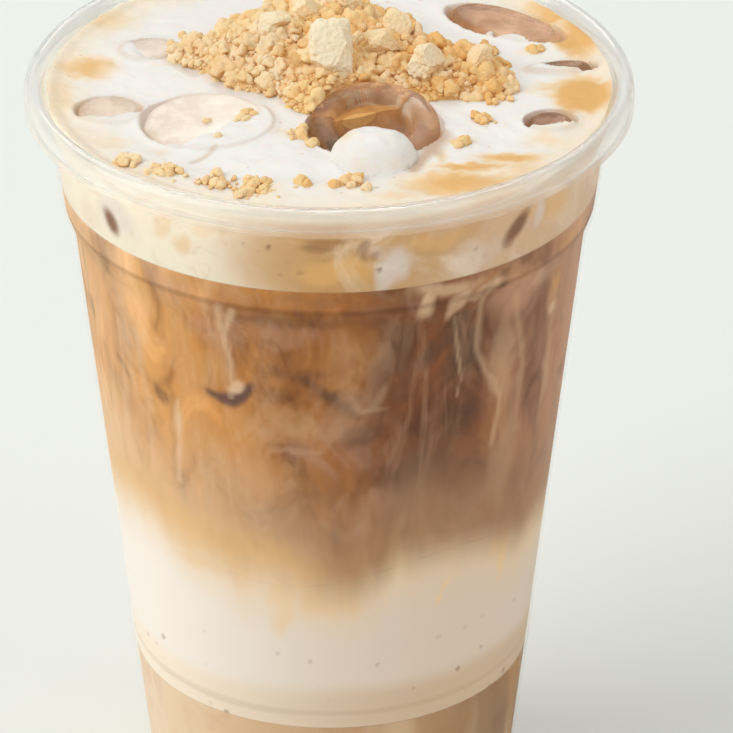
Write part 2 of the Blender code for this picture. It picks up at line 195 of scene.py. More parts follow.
def turned_rows(profile, facets):
    """Rings round Z through (radius, height) points."""
    angles = math.tau * np.arange(facets) / facets
    across, along = np.array(profile).T
    return np.stack([
        np.outer(across, np.cos(angles)),
        np.outer(across, np.sin(angles)),
        np.outer(along, np.ones(facets)),
    ], -1)


class Wire:
    """A socket in a material's tree. Sums on wires add Math nodes, and node() any other."""

    def __init__(self, tree, socket=None):
        self.tree = tree
        self.socket = socket

    def node(self, kind, settings, sockets, out=0):
        made = self.tree.nodes.new(kind)
        for name, value in settings.items():
            if name == "stops":
                ramp = made.color_ramp.elements
                while len(ramp) < len(value):
                    ramp.new(0.5)
                for stop, (position, colour) in zip(ramp, value):
                    stop.position = position
                    stop.color = (*colour, 1.0)
            else:
                setattr(made, name, value)
        for key, value in sockets.items():
            if isinstance(value, Wire):
                self.tree.links.new(value.socket, made.inputs[key])
            else:
                made.inputs[key].default_value = value
        return Wire(self.tree, made.outputs[out])

    def math(self, operation, left, right=0.0, clamp=False):
        settings = {"operation": operation, "use_clamp": clamp}
        return self.node("ShaderNodeMath", settings, {0: left, 1: right})

    def __add__(self, other):
        return self.math("ADD", self, other)

    def __radd__(self, other):
        return self.math("ADD", other, self)

    def __sub__(self, other):
        return self.math("SUBTRACT", self, other)

    def __rsub__(self, other):
        return self.math("SUBTRACT", other, self)

    def __mul__(self, other):
        return self.math("MULTIPLY", self, other)

    def __rmul__(self, other):
        return self.math("MULTIPLY", other, self)

    def most(self, other):
        return self.math("MAXIMUM", self, other)

    def held(self):
        """Kept between 0 and 1."""
        return self.math("ADD", self, 0.0, clamp=True)

    def ramp(self, low, high):
        """A soft step from 0 at low to 1 at high."""
        sockets = {"Value": self, "From Min": low, "From Max": high}
        return self.node("ShaderNodeMapRange", {"interpolation_type": "SMOOTHSTEP"}, sockets)

    def vein(self, width):
        """1 on the lines where this noise is at its middle, fading out beside them."""
        return self.math("ABSOLUTE", self - 0.5).ramp(width, 0.0)

    def noise(self, scale, detail=3.0, rough=0.5, bend=0.0):
        """Noise from 0 to 1 over a place."""
        sockets = {"Vector": self, "Scale": scale, "Detail": detail,
                   "Roughness": rough, "Distortion": bend}
        return self.node("ShaderNodeTexNoise", {}, sockets)

    def stretched(self, scale, shift=(0.0, 0.0, 0.0)):
        """The place, scaled along each axis and moved."""
        sockets = {"Vector": self, "Scale": scale, "Location": shift}
        return self.node("ShaderNodeMapping", {}, sockets)

    def bubbles(self, scale):
        """The distance to the nearest of many cell middles, over a place."""
        return self.node("ShaderNodeTexVoronoi", {}, {"Vector": self, "Scale": scale}, out="Distance")

    def bump(self, strength, distance):
        """A normal that follows this height."""
        sockets = {"Strength": strength, "Distance": distance, "Height": self}
        return self.node("ShaderNodeBump", {}, sockets, out="Normal")

    def axes(self):
        """The east, north and up of a place or a direction."""
        split = self.node("ShaderNodeSeparateXYZ", {}, {0: self}).socket.node
        return [Wire(self.tree, split.outputs[axis]) for axis in "XYZ"]

    def mask(self, name):
        """A value that give() writes on the piece's points."""
        return self.node("ShaderNodeAttribute", {"attribute_name": name}, {}, out="Fac")

    def paint(self, under, over):
        """The under colour with the over colour laid on by this mask."""
        under = under if isinstance(under, Wire) else (*under, 1.0)
        over = over if isinstance(over, Wire) else (*over, 1.0)
        settings = {"data_type": "RGBA", "blend_type": "MIX", "clamp_factor": True}
        return self.node("ShaderNodeMix", settings, {0: self, 6: under, 7: over}, out=2)

    def wash(self, under, tint):
        """The under colour, multiplied by the tint as far as this mask goes."""
        settings = {"data_type": "RGBA", "blend_type": "MULTIPLY"}
        sockets = {0: 1.0, 6: under, 7: (*tint, 1.0)}
        return self.paint(under, self.node("ShaderNodeMix", settings, sockets, out=2))


def across_ramp(east, stops):
    """A colour that changes from the left of the cup to its right, over stops in metres; it carries
    painted light across the cup.
    """
    reach = stops[-1][0]
    spread = (east + reach) * (0.5 / reach)
    settings = {"stops": [(0.5 + 0.5 * at / reach, colour) for at, colour in stops]}
    return spread.node("ShaderNodeValToRGB", settings, {0: spread})


def new_finish(name, **constants):
    """A Principled material with fixed sockets set, its shader and its place wire."""
    material = bpy.data.materials.new(name)
    material.use_nodes = True
    shader = material.node_tree.nodes["Principled BSDF"]
    for key, value in constants.items():
        socket = shader.inputs[key.replace("_", " ")]
        socket.default_value = value
    place = Wire(material.node_tree).node("ShaderNodeTexCoord", {}, {}, out="Object")
    return material, shader, place


def feed(shader, **wires):
    for key, wire in wires.items():
        wire.tree.links.new(wire.socket, shader.inputs[key.replace("_", " ")])


def let_lamps_through(material, shader, place=None):
    """Lamplight passes the clear piece. Below the curl the thin wall hardly bends light."""
    tree = material.node_tree
    start = Wire(tree)
    share = start.node("ShaderNodeLightPath", {}, {}, out="Is Shadow Ray")
    if place:
        thin = place.axes()[2].ramp(CURL_LOW + 1.5 * MM, CURL_LOW - 0.5 * MM)
        share = share.most(CURL_CLEAR + thin * (THIN_WALL_CLEAR - CURL_CLEAR))
    clear = start.node("ShaderNodeBsdfTransparent", {}, {})
    shaded = Wire(tree, shader.outputs[0])
    both = start.node("ShaderNodeMixShader", {}, {0: share, 1: shaded, 2: clear})
    tree.links.new(both.socket, tree.nodes["Material Output"].inputs["Surface"])


clear_plastic, plastic_shader, plastic_place = new_finish(
    "clear_plastic", Base_Color=(0.985, 0.985, 0.975, 1.0), Transmission_Weight=0.88, IOR=1.4)
scuffs = plastic_place.stretched((1.0, 1.0, 0.35)).noise(90.0, 2.0).ramp(0.45, 0.75)
feed(plastic_shader, Roughness=0.03 + scuffs * 0.05)
let_lamps_through(clear_plastic, plastic_shader, plastic_place)

curl_centre = (RIM_RADIUS - CURL_HALF_WIDTH, CUP_HEIGHT - CURL_HALF_HEIGHT)
curl_inner = (CURL_HALF_WIDTH - CURL_PLASTIC, CURL_HALF_HEIGHT - CURL_PLASTIC)
outside = [(NEAR_AXIS, RECESS), (FOOT_INNER_RADIUS - RECESS, RECESS), (FOOT_INNER_RADIUS, 0.0)]
foot_radii = (wall_radius(FOOT_ROUND) - FOOT_OUTER_RADIUS, FOOT_ROUND)
outside += arc((FOOT_OUTER_RADIUS, FOOT_ROUND), foot_radii, -90, 0, 6)
for share in np.linspace(-1.0, 1.0, GROOVE_STEPS):
    height = GROOVE_HEIGHT + share * GROOVE_HALF
    depth = GROOVE_DEPTH * (0.5 + 0.5 * math.cos(math.pi * share))
    outside.append((wall_radius(height) - depth, height))
outside += [(wall_radius(height), height) for height in (STEP_LOW, STEP_HIGH, COLLAR_TOP)]
lip_centre = (curl_centre[0] + CURL_LIP_SHIFT[0] * CURL_HALF_WIDTH,
              curl_centre[1] + CURL_LIP_SHIFT[1] * CURL_HALF_HEIGHT)
curl = arc(curl_centre, curl_inner, 175, -55, 24)
curl += arc(lip_centre, CURL_LIP, -150, 10, 6)
curl += arc(curl_centre, (CURL_HALF_WIDTH, CURL_HALF_HEIGHT), -30, 168, 28)
inside = [(inside_radius(height), height) for height in (
    COLLAR_TOP, STEP_HIGH, STEP_LOW, FLOOR_TOP + FLOOR_FILLET, FLOOR_TOP)]
cup_profile = smooth_line(outside + curl + inside + [(NEAR_AXIS, FLOOR_TOP)], PROFILE_SPACING)
cup = ringed_piece("clear_cup", turned_rows(cup_profile, CUP_FACETS), clear_plastic)
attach(cup, "root")
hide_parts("cup")


# The syrup: brown milk and nut paste that has settled on the cup's floor. It fills the cup
# up to the groove, and reaches into the wall so that no air shows between them.
INTO_WALL = 0.25 * MM
SYRUP_LEVEL = 37.0 * MM
LAYER_FACETS = 480
FIRST_RING = 0.02
SYRUP_PAINTED_LIGHT_ACROSS = (
    # east of the axis in metres and the syrup's colour there, with painted light: lighter on the
    # lamp-lit left, darker to the right
    (-0.032, (0.86, 0.67, 0.48)), (-0.022, (0.80, 0.58, 0.38)), (-0.010, (0.68, 0.45, 0.26)),
    (0.012, (0.52, 0.315, 0.165)), (0.030, (0.30, 0.165, 0.08)),
)
SYRUP_TAN = (0.84, 0.64, 0.44)
SYRUP_ROSE = (0.86, 0.72, 0.70)
SYRUP_AMBER = (0.74, 0.40, 0.13)


def layer_rows(low, high, low_rings, high_rings, spacing):
    """Rings of a layer between two surfaces, which are heights over arrays of x and y."""
    angles = math.tau * np.arange(LAYER_FACETS) / LAYER_FACETS
    east, north = np.cos(angles), np.sin(angles)

    def edge(surface):
        heights = surface(east * BASE_RADIUS, north * BASE_RADIUS)
        for _ in range(2):
            radii = inside_radius(heights) + INTO_WALL
            heights = surface(east * radii, north * radii)
        return radii, heights

    low_radii, low_heights = edge(low)
    high_radii, high_heights = edge(high)
    rows = []
    for share in np.linspace(FIRST_RING, 1.0, low_rings):
        x, y = east * low_radii * share, north * low_radii * share
        rows.append(np.stack([x, y, low(x, y)], -1))
    side = max(2, int((high_heights.mean() - low_heights.mean()) / spacing))
    for share in np.linspace(0.0, 1.0, side + 1)[1:-1]:
        heights = low_heights + (high_heights - low_heights) * share
        radii = inside_radius(heights) + INTO_WALL
        rows.append(np.stack([east * radii, north * radii, heights], -1))
    for share in np.linspace(1.0, FIRST_RING, high_rings):
        x, y = east * high_radii * share, north * high_radii * share
        rows.append(np.stack([x, y, high(x, y)], -1))
    return rows


def level(height):
    return lambda x, y: np.full_like(x, height)


syrup_finish, syrup_shader, place = new_finish(
    "syrup", Roughness=0.5, Specular_IOR_Level=0.1, Subsurface_Weight=0.15, Subsurface_Scale=2.0 * MM)
fold = place.stretched((1.0, 1.0, 0.3)).noise(70.0, 4.0, 0.55, 0.6)
east = place.axes()[0]
# The syrup's colour with painted light and shade across the cup, lighter on the left and darker on the
# right.
colour = across_ramp(east + (fold - 0.5) * (10.0 * MM), SYRUP_PAINTED_LIGHT_ACROSS)
murk = place.stretched((1.0, 1.0, 0.6), (0.5, 0.1, 0.7)).noise(95.0, 5.0, 0.6, 1.4)
colour = (murk.ramp(0.46, 0.70) * 0.6).wash(colour, SYRUP_ROSE)
colour = (fold.ramp(0.50, 0.70) * 0.5).paint(colour, SYRUP_TAN)
glow = place.stretched((1.0, 1.0, 0.25), (0.31, 0.2, 0.1)).noise(46.0, 2.0).ramp(0.56, 0.72)
feed(syrup_shader, Base_Color=(glow * 0.45).paint(colour, SYRUP_AMBER))
syrup_rows = layer_rows(level(FLOOR_TOP + 0.1 * MM), level(SYRUP_LEVEL), 3, 3, 1.0 * MM)
syrup = ringed_piece("syrup", syrup_rows, syrup_finish)
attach(syrup, "root")
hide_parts("syrup_layer")


# Milk and coffee: cold milk poured on the syrup, and coffee poured on the milk so that the
# two blend where they meet. One finish runs through both, as they are one body of drink:
# cream white below, marbled brown above, with milk that has sunk from the foam in streaks.
MILK_LEVEL = 67.7 * MM
MILK_WAVE = 2.2 * MM
MILK_LOBES = 4
MILK_LOBE_TURN = math.radians(33.0)
COFFEE_LEVEL = 123.2 * MM
# Each colour named _SHADE is painted shade: a darker copy of the colour beside it, laid on towards the
# cup's right, away from the key lamp.
MILK_WHITE = (0.97, 0.90, 0.83)
MILK_SHADE = (0.76, 0.62, 0.51)
MILK_TAN, MILK_TAN_SHADE = (0.99, 0.86, 0.70), (0.655, 0.475, 0.31)
BLUSH, BLUSH_SHADE = (0.84, 0.59, 0.37), (0.43, 0.24, 0.125)
SPECK_BROWN = (0.30, 0.17, 0.10)
FRINGE = (0.82, 0.50, 0.21)
COFFEE_PAINTED_LIGHT_ACROSS = (
    # east of the axis in metres and the coffee's colour there, partly its own colour and partly painted
    # light: lighter on the lamp-lit left
    (-0.042, (0.75, 0.43, 0.20)), (-0.030, (0.75, 0.365, 0.11)), (-0.015, (0.59, 0.235, 0.047)),
    (0.0, (0.305, 0.1, 0.017)), (0.013, (0.19, 0.053, 0.01)), (0.026, (0.27, 0.09, 0.03)),
    (0.036, (0.50, 0.235, 0.12)), (0.042, (0.56, 0.29, 0.16)),
)
DARK_WASH = (0.50, 0.44, 0.42)
LIGHT_WASH = (1.25, 1.32, 1.45)
COFFEE_GOLD = (0.66, 0.33, 0.10)
COFFEE_DARK = (0.095, 0.036, 0.014)
STREAK_CREAM, STREAK_SHADE = (0.84, 0.60, 0.39), (0.54, 0.30, 0.165)
DRIP_SHADE = (0.70, 0.46, 0.27)
MAUVE = (0.56, 0.29, 0.17)
ICE_DARK = (0.10, 0.05, 0.045)
MILK_AMBER = (0.88, 0.61, 0.32)
BLOTS = {
    # turn from the front in degrees, height, half width and half height in mm, lean to the
    # right going up, strength
    "dark": (
        (-70.0, 104.8, 0.9, 1.9, -0.3, 0.6), (-56.2, 98.6, 0.8, 2.0, -0.7, 0.8),
        (-42.3, 97.4, 1.5, 1.7, -0.6, 0.55), (38.9, 119.1, 0.8, 0.7, 0.0, 1.0),
        (26.2, 111.6, 2.9, 4.8, 0.85, 1.15), (28.6, 112.6, 2.4, 3.0, 0.2, 1.15),
        (32.0, 108.5, 3.0, 5.0, 0.3, 1.05), (32.0, 95.3, 3.6, 3.4, 0.1, 0.9),
        (-7.0, 107.0, 4.8, 0.7, -0.6, 0.5), (0.5, 103.4, 3.4, 0.6, -0.5, 0.45),
        (14.2, 107.5, 3.4, 8.5, 0.1, 0.85), (22.0, 86.0, 5.0, 5.0, 0.2, 0.6),
        (8.0, 95.0, 4.0, 2.0, 0.4, 0.5),
        (2.0, 121.2, 14.0, 0.9, 0.0, 0.25), (-3.0, 117.2, 13.0, 1.1, 0.0, 0.35),
        (61.5, 85.0, 1.4, 6.0, 0.0, 0.28), (-48.0, 121.0, 14.0, 2.2, 0.0, 0.12),
        (49.0, 121.4, 7.0, 1.8, 0.0, 0.3),
    ),
    "cream": (
        (21.4, 119.2, 1.2, 2.8, 0.2, 1.0), (25.0, 121.9, 5.4, 1.3, 0.0, 0.8),
        (28.8, 118.6, 1.1, 3.0, 0.4, 1.0), (34.5, 119.6, 3.6, 1.1, 0.5, 0.6),
        (-20.8, 103.4, 1.3, 1.2, 0.3, 1.0), (9.2, 100.3, 2.6, 0.6, 0.3, 0.3),
        (61.0, 108.0, 1.3, 1.1, 0.3, 0.8), (-58.0, 90.0, 1.0, 9.0, 0.1, 0.4),
        (43.5, 104.0, 2.4, 9.0, -0.1, 0.35), (47.0, 84.0, 3.0, 8.0, 0.1, 0.35),
        (-8.0, 92.5, 4.0, 0.6, -0.3, 0.3), (55.5, 117.0, 3.4, 2.0, 0.2, 0.35),
        (-66.0, 80.0, 3.0, 9.0, 0.1, 0.5), (62.0, 98.0, 1.0, 12.0, 0.0, 0.4),
    ),
    "gold": (
        (-36.5, 109.5, 3.4, 4.6, 0.2, 0.7), (-46.0, 103.0, 3.0, 8.0, 0.1, 0.4),
        (-30.0, 105.0, 4.0, 3.0, 0.2, 0.7), (-24.0, 94.6, 6.5, 4.0, 0.1, 0.8),
        (-28.0, 91.5, 4.5, 3.5, 0.1, 0.8),
        (-10.0, 97.5, 5.0, 3.4, 0.2, 0.55), (4.0, 109.5, 4.2, 6.6, 0.1, 0.6),
        (60.4, 112.6, 1.9, 3.6, 0.2, 0.95), (-29.0, 86.0, 5.0, 4.0, 0.1, 0.55),
        (-35.6, 89.0, 1.5, 7.0, 0.0, 0.7),
        (42.5, 91.0, 3.0, 5.0, 0.1, 0.3), (-13.0, 86.5, 5.0, 3.5, 0.1, 0.5),
        (-3.0, 121.5, 16.0, 1.6, 0.0, 0.3), (50.0, 121.0, 15.0, 2.4, 0.0, 0.5),
    ),
    "mauve": (
        (-22.0, 114.6, 6.4, 3.8, 0.1, 0.75), (-10.0, 114.4, 6.0, 2.2, 0.0, 0.5),
        (0.0, 92.5, 7.5, 5.5, -0.3, 0.5), (-56.0, 108.0, 1.8, 7.0, 0.1, 0.35),
        (13.0, 80.0, 7.0, 4.5, 0.2, 0.5), (46.0, 98.0, 3.2, 12.0, 0.0, 0.4),
        (-60.0, 75.0, 5.0, 5.0, 0.1, 0.5), (-40.0, 76.0, 9.0, 4.0, 0.1, 0.45),
        (35.0, 76.0, 8.0, 4.0, 0.1, 0.4), (47.0, 117.5, 7.0, 6.0, 0.0, 0.9),
        (-42.0, 121.0, 12.0, 1.6, 0.0, 0.4),
    ),
    "amber": (
        (-11.5, 60.6, 1.9, 5.2, 0.1, 0.5), (-14.6, 63.5, 1.4, 2.6, 0.0, 0.5),
        (-3.5, 62.0, 2.6, 2.4, 0.0, 0.5),
        (4.6, 62.4, 1.8, 2.6, 0.0, 0.45), (30.9, 62.8, 0.6, 1.4, 0.6, 0.6),
        (28.9, 60.3, 0.7, 0.8, 0.5, 0.7), (51.4, 64.6, 1.3, 5.0, 0.0, 0.8),
        (47.0, 66.5, 1.2, 2.4, 0.0, 0.5), (-36.0, 66.5, 6.0, 1.0, 0.0, 0.3),
    ),
}
THREADS = {
    # the line that each thread follows, in degrees and mm, its half width in mm, strength
    "cream": (
        (((-21.0, 118.2), (-22.3, 114.2), (-22.4, 106.6), (-22.3, 101.2)), 0.4, 0.7),
        (((-23.9, 118.5), (-23.8, 114.9), (-22.5, 107.5)), 0.4, 0.55),
        (((-27.6, 117.6), (-26.6, 114.6), (-25.8, 112.4)), 0.44, 0.25),
        (((29.1, 115.1), (29.9, 109.0), (31.2, 99.8)), 0.28, 0.5),
        (((34.4, 118.0), (34.8, 114.0), (35.0, 107.7), (39.9, 101.7), (43.2, 96.8), (42.6, 88.0)),
         0.5, 0.6),
        (((45.6, 115.5), (49.0, 106.0), (49.8, 98.2), (51.0, 88.0)), 0.62, 0.36),
        (((41.5, 109.5), (43.4, 104.5), (44.4, 99.0)), 0.38, 0.22),
        (((5.6, 103.0), (7.4, 99.8), (10.4, 100.6), (12.6, 103.8)), 0.5, 0.25),
        (((-49.4, 107.0), (-48.7, 100.4), (-47.5, 94.0), (-48.0, 83.0)), 0.75, 0.32),
        (((-37.8, 97.1), (-38.7, 89.8), (-39.6, 81.8)), 0.42, 0.75),
        (((-54.0, 112.0), (-53.0, 104.0), (-52.6, 95.0)), 0.62, 0.22),
        (((19.0, 79.0), (16.8, 74.0), (15.2, 69.5)), 0.62, 0.25),
        (((-2.0, 78.0), (4.0, 75.0), (9.0, 79.0), (10.5, 84.0)), 0.62, 0.18),
    ),
    "dark": (
        (((-12.6, 108.4), (-6.7, 106.3), (-2.3, 104.2), (3.3, 101.1), (6.7, 98.6)), 0.65, 0.8),
        (((30.8, 117.2), (35.2, 119.8), (41.0, 122.0)), 0.4, 0.55),
        (((14.2, 116.0), (12.6, 111.0), (13.4, 104.0), (16.0, 98.0)), 0.69, 0.25),
        (((-38.8, 97.5), (-40.2, 90.0), (-41.0, 82.0)), 0.62, 0.22),
        (((-5.0, 118.3), (6.0, 118.2), (18.0, 118.6)), 0.75, 0.18),
    ),
}
# turn in degrees, height of the lower edge, half width and rise to its right tip in mm
CRESCENT = (-23.2, 99.2, 4.6, 3.8)
BLOT_SOFTNESS, BLOT_BEND = 0.45, 1.6
EDGE_LIFT = (
    # turn in degrees and how many mm lower the coffee's edge is there, or higher with a minus
    (-180, 0.0), (-80, -3.5), (-65, -3.4), (-48, -3.8), (-30, -2.0), (-18, 0.3), (-8, 1.6), (5, 1.2),
    (12, -0.5), (15.5, -3.8), (18, -6.5), (24, -4.6), (38, -3.2), (50, -1.5), (64, 0.4), (80, 0.0),
    (180, 0.0),
)


def milk_surface(x, y):
    """The wavy boundary between milk and coffee."""
    wave = np.cos(MILK_LOBES * (np.arctan2(x, -y) - MILK_LOBE_TURN))
    return MILK_LEVEL + MILK_WAVE * wave * np.minimum(1.0, np.hypot(x, y) / BASE_RADIUS)


def unrolled(points, bend=0.0):
    """The turn from the front in degrees, the height in mm and the radius in mm."""
    turn = np.degrees(np.arctan2(points[:, 0], -points[:, 1]))
    up, radius = points[:, 2] / MM, np.hypot(points[:, 0], points[:, 1]) / MM
    if bend:
        across = np.radians(turn) * np.maximum(radius, 1.0)
        turn = turn + np.degrees(bend * wobble(across, up, 0.0) / np.maximum(radius, 1.0))
        up = up + bend * wobble(across, up, 40.0)
    return turn, up, radius


def wobble(across, up, seed):
    """Flowing noise over the unrolled side, longer up than across."""
    broad = [noise.noise(Vector((a / 5.5, b / 9.0, seed))) for a, b in zip(across, up)]
    fine = [noise.noise(Vector((a / 1.9, b / 3.2, seed + 9))) for a, b in zip(across, up)]
    return np.array(broad) + 0.45 * np.array(fine)


def soft_step(value, low, high):
    """A soft step over an array, from 0 at low to 1 at high."""
    part = np.clip((value - low) / (high - low), 0.0, 1.0)
    return part * part * (3.0 - 2.0 * part)


def off_run(over, above, wide, tall):
    """The distance from a straight run, for places measured from its start."""
    along = np.clip((over * wide + above * tall) / (wide**2 + tall**2), 0.0, 1.0)
    return np.hypot(over - wide * along, above - tall * along)


def side_mask(points, blots, threads=(), bend=BLOT_BEND):
    """Soft uneven blots and threads on the drink's side, each with its strength."""
    turn, up, radius = unrolled(points, bend)
    mask = np.zeros(len(points))
    for at, height, half_width, half_height, lean, strength in blots:
        across = np.radians(turn - at) * radius - lean * (up - height)
        reach = np.hypot(across / half_width, (up - height) / half_height)
        shown = soft_step(reach, 1.0 + BLOT_SOFTNESS, 1.0 - BLOT_SOFTNESS)
        mask = np.maximum(mask, strength * shown)
    turn, up, radius = unrolled(points, 0.6 * bend)
    pulse = np.array([noise.noise(Vector((a / 9.0, b / 4.0, 70.0))) for a, b in zip(turn, up)])
    for line, half, strength in threads:
        for (turn_a, up_a), (turn_b, up_b) in zip(line, line[1:]):
            wide, over = math.radians(turn_b - turn_a) * radius, np.radians(turn - turn_a) * radius
            off = off_run(over, up - up_a, wide, up_b - up_a)
            thick = half * (0.75 + 0.6 * pulse)
            mask = np.maximum(mask, strength * soft_step(off, 2.8 * thick, 0.2 * thick))
    return mask


def crescent_mask(points):
    """The dark sliver of a sunk ice piece that touches the wall."""
    turn, up, radius = unrolled(points, 0.35)
    at, low, wide, rise = CRESCENT
    across = np.clip(np.radians(turn - at) * radius / wide, -1.2, 1.2)
    lower = low + rise * np.where(across < 0.0, 0.5, 1.0) * across**2
    upper = lower + 0.7 + 2.0 * (1.0 + 0.8 * across) * np.sqrt(np.clip(1.0 - across**2, 0.0, 1.0))
    inside = soft_step(np.abs(across), 1.08, 0.8) * soft_step(up, upper + 0.9, upper - 0.7)
    return inside * soft_step(up, lower - 0.7, lower + 0.8)


def give(piece, **masks):
    """Writes each mask as an attribute on the piece's points."""
    points = np.zeros(len(piece.data.vertices) * 3)
    piece.data.vertices.foreach_get("co", points)
    for name, mask in masks.items():
        values = mask(points.reshape(-1, 3)) if callable(mask) else mask
        written = piece.data.attributes.new(name, "FLOAT", "POINT")
        written.data.foreach_set("value", values.astype(np.float32))


drink_finish, drink_shader, place = new_finish(
    "milk_and_coffee", Roughness=0.5, Specular_IOR_Level=0.1)
east, north, up = place.axes()
tall = place.stretched((1.0, 1.0, 0.30))
flow = place.stretched((1.0, 1.0, 0.55), (0.2, 0.5, 0.1))
body = flow.noise(38.0, 3.0, 0.5, 1.2)
swirl = flow.noise(75.0, 5.0, 0.55, 2.2)
veil = tall.noise(120.0, 5.0, 0.6, 1.2)
fleck = flow.noise(320.0, 3.0, 0.6, 1.0)
# Painted shade across the drink: 0 on the lamp-lit left of the cup, 1 on its shaded right.
painted_shade_right = (east * 0.95 - north * 0.2).ramp(-0.036, 0.026)
streak = painted_shade_right.paint(STREAK_CREAM, STREAK_SHADE)
# The coffee's colour with painted light across the cup, lightest on the lamp-lit left.
brown = across_ramp(east + (swirl - 0.5) * (16.0 * MM), COFFEE_PAINTED_LIGHT_ACROSS)
brown = (body.ramp(0.42, 0.62) * 0.6).wash(brown, DARK_WASH)
brown = (swirl.ramp(0.52, 0.72) * 0.8).wash(brown, DARK_WASH)
brown = (swirl.ramp(0.48, 0.28) * 0.8).wash(brown, LIGHT_WASH)
brown = (veil.ramp(0.50, 0.74) * 0.6).wash(brown, LIGHT_WASH)
brown = (veil.ramp(0.47, 0.27) * 0.6).wash(brown, DARK_WASH)
brown = (fleck.ramp(0.50, 0.74) * 0.14).paint(brown, streak)
broken = 0.10 + swirl.ramp(0.36, 0.60)
brown = (place.mask("mauve") * broken * 0.8).held().paint(brown, MAUVE)
brown = (place.mask("gold") * broken * 0.7).held().paint(brown, COFFEE_GOLD)
brown = (place.mask("dark") * (0.4 + broken * 0.6)).held().paint(brown, COFFEE_DARK)
curls = flow.noise(30.0, 5.0, 0.62, 1.5).vein(0.085) * veil.ramp(0.40, 0.66)
hairs = tall.noise(52.0, 5.0, 0.62, 1.0).vein(0.075) * swirl.ramp(0.38, 0.62)
brown = (curls * 0.27).paint(brown, streak)
brown = (hairs * 0.24).paint(brown, streak)
elsewhere = flow.stretched((1.0, 1.0, 1.2), (3.0, 1.0, 2.0))
dark_hairs = elsewhere.noise(44.0, 4.0, 0.6, 1.8).vein(0.06)
brown = (dark_hairs * body.ramp(0.40, 0.60) * 0.4).wash(brown, DARK_WASH)
brown = (place.mask("crescent") * 0.88).paint(brown, ICE_DARK)
# The drips' cream, with painted shade on the right.
drip = painted_shade_right.paint(STREAK_CREAM, DRIP_SHADE)
brown = (place.mask("cream") * (0.35 + 0.9 * veil)).held().paint(brown, drip)
# Painted light on the drink just above the cup's step, and a thin line of painted shade where the step
# runs.
step_painted_light = up.ramp(119.2 * MM, 119.9 * MM)
brown = (step_painted_light * 0.5).wash(brown, LIGHT_WASH)
step_painted_shade = up.ramp(118.2 * MM, 119.1 * MM) * up.ramp(120.1 * MM, 119.3 * MM)
brown = (step_painted_shade * 0.42).wash(brown, DARK_WASH)
edge_up = up + (tall.noise(30.0, 4.0, 0.6, 0.6) - 0.5) * (17.0 * MM)
edge_up = edge_up + place.mask("lift") * MM
blend_low = edge_up.ramp(94.0 * MM, 72.0 * MM)
# The blush, with painted shade on the right.
blush = painted_shade_right.paint(BLUSH, BLUSH_SHADE)
brown = (blend_low * (0.35 + 0.6 * veil)).paint(brown, blush)
fringe = edge_up.ramp(78.0 * MM, 69.0 * MM) * painted_shade_right.ramp(1.05, 0.45)
brown = (fringe * (0.3 + 0.9 * veil)).held().paint(brown, FRINGE)
meet = edge_up.ramp(72.5 * MM, 61.0 * MM)
# Milk white on the lit left, with painted shade on the right; the tan below gets the same painted shade.
white = painted_shade_right.paint(MILK_WHITE, MILK_SHADE)
milk_low = (up + (body - 0.5) * (3.0 * MM)).ramp(46.8 * MM, 42.6 * MM)
white = (milk_low * 0.85).paint(white, painted_shade_right.paint(MILK_TAN, MILK_TAN_SHADE))
foot_arc = (up + (body - 0.5) * (2.0 * MM)).ramp(39.2 * MM, 39.8 * MM)
foot_arc = foot_arc * up.ramp(40.9 * MM, 40.1 * MM)
white = (foot_arc * 0.2).paint(white, BLUSH_SHADE)
wash = edge_up.ramp(54.0 * MM, 68.0 * MM) * (0.25 + veil)
white = (wash * 0.75).held().paint(white, MILK_AMBER)
white = (place.mask("amber") * (0.5 + 1.2 * veil)).held().paint(white, MILK_AMBER)
specks = place.bubbles(300.0)
rare = place.noise(190.0, 1.0).ramp(0.50, 0.56) * up.ramp(58.0 * MM, 42.0 * MM)
white = (specks.ramp(0.22, 0.12) * rare * 0.6).paint(white, SPECK_BROWN)
feed(drink_shader, Base_Color=meet.paint(brown, white))


def coffee_underside(x, y):
    """The coffee starts a hair above the milk."""
    return milk_surface(x, y) + 0.02 * MM


def lift_mask(points):
    """How many mm lower the coffee ends where it has sunk into the milk."""
    return np.interp(unrolled(points)[0], *zip(*EDGE_LIFT))


milk_rows = layer_rows(level(SYRUP_LEVEL + 0.05 * MM), milk_surface, 3, 8, 0.7 * MM)
milk = ringed_piece("milk", milk_rows, drink_finish)
coffee_rows = layer_rows(coffee_underside, level(COFFEE_LEVEL), 8, 3, 0.45 * MM)
coffee = ringed_piece("coffee", coffee_rows, drink_finish)
drink_marks = {name: partial(side_mask, blots=blots, threads=THREADS.get(name, ()))
               for name, blots in BLOTS.items()}
for piece in (milk, coffee):
    give(piece, crescent=crescent_mask, lift=lift_mask, **drink_marks)
    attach(piece, "root")
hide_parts("milk_layer")
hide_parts("coffee_layer")


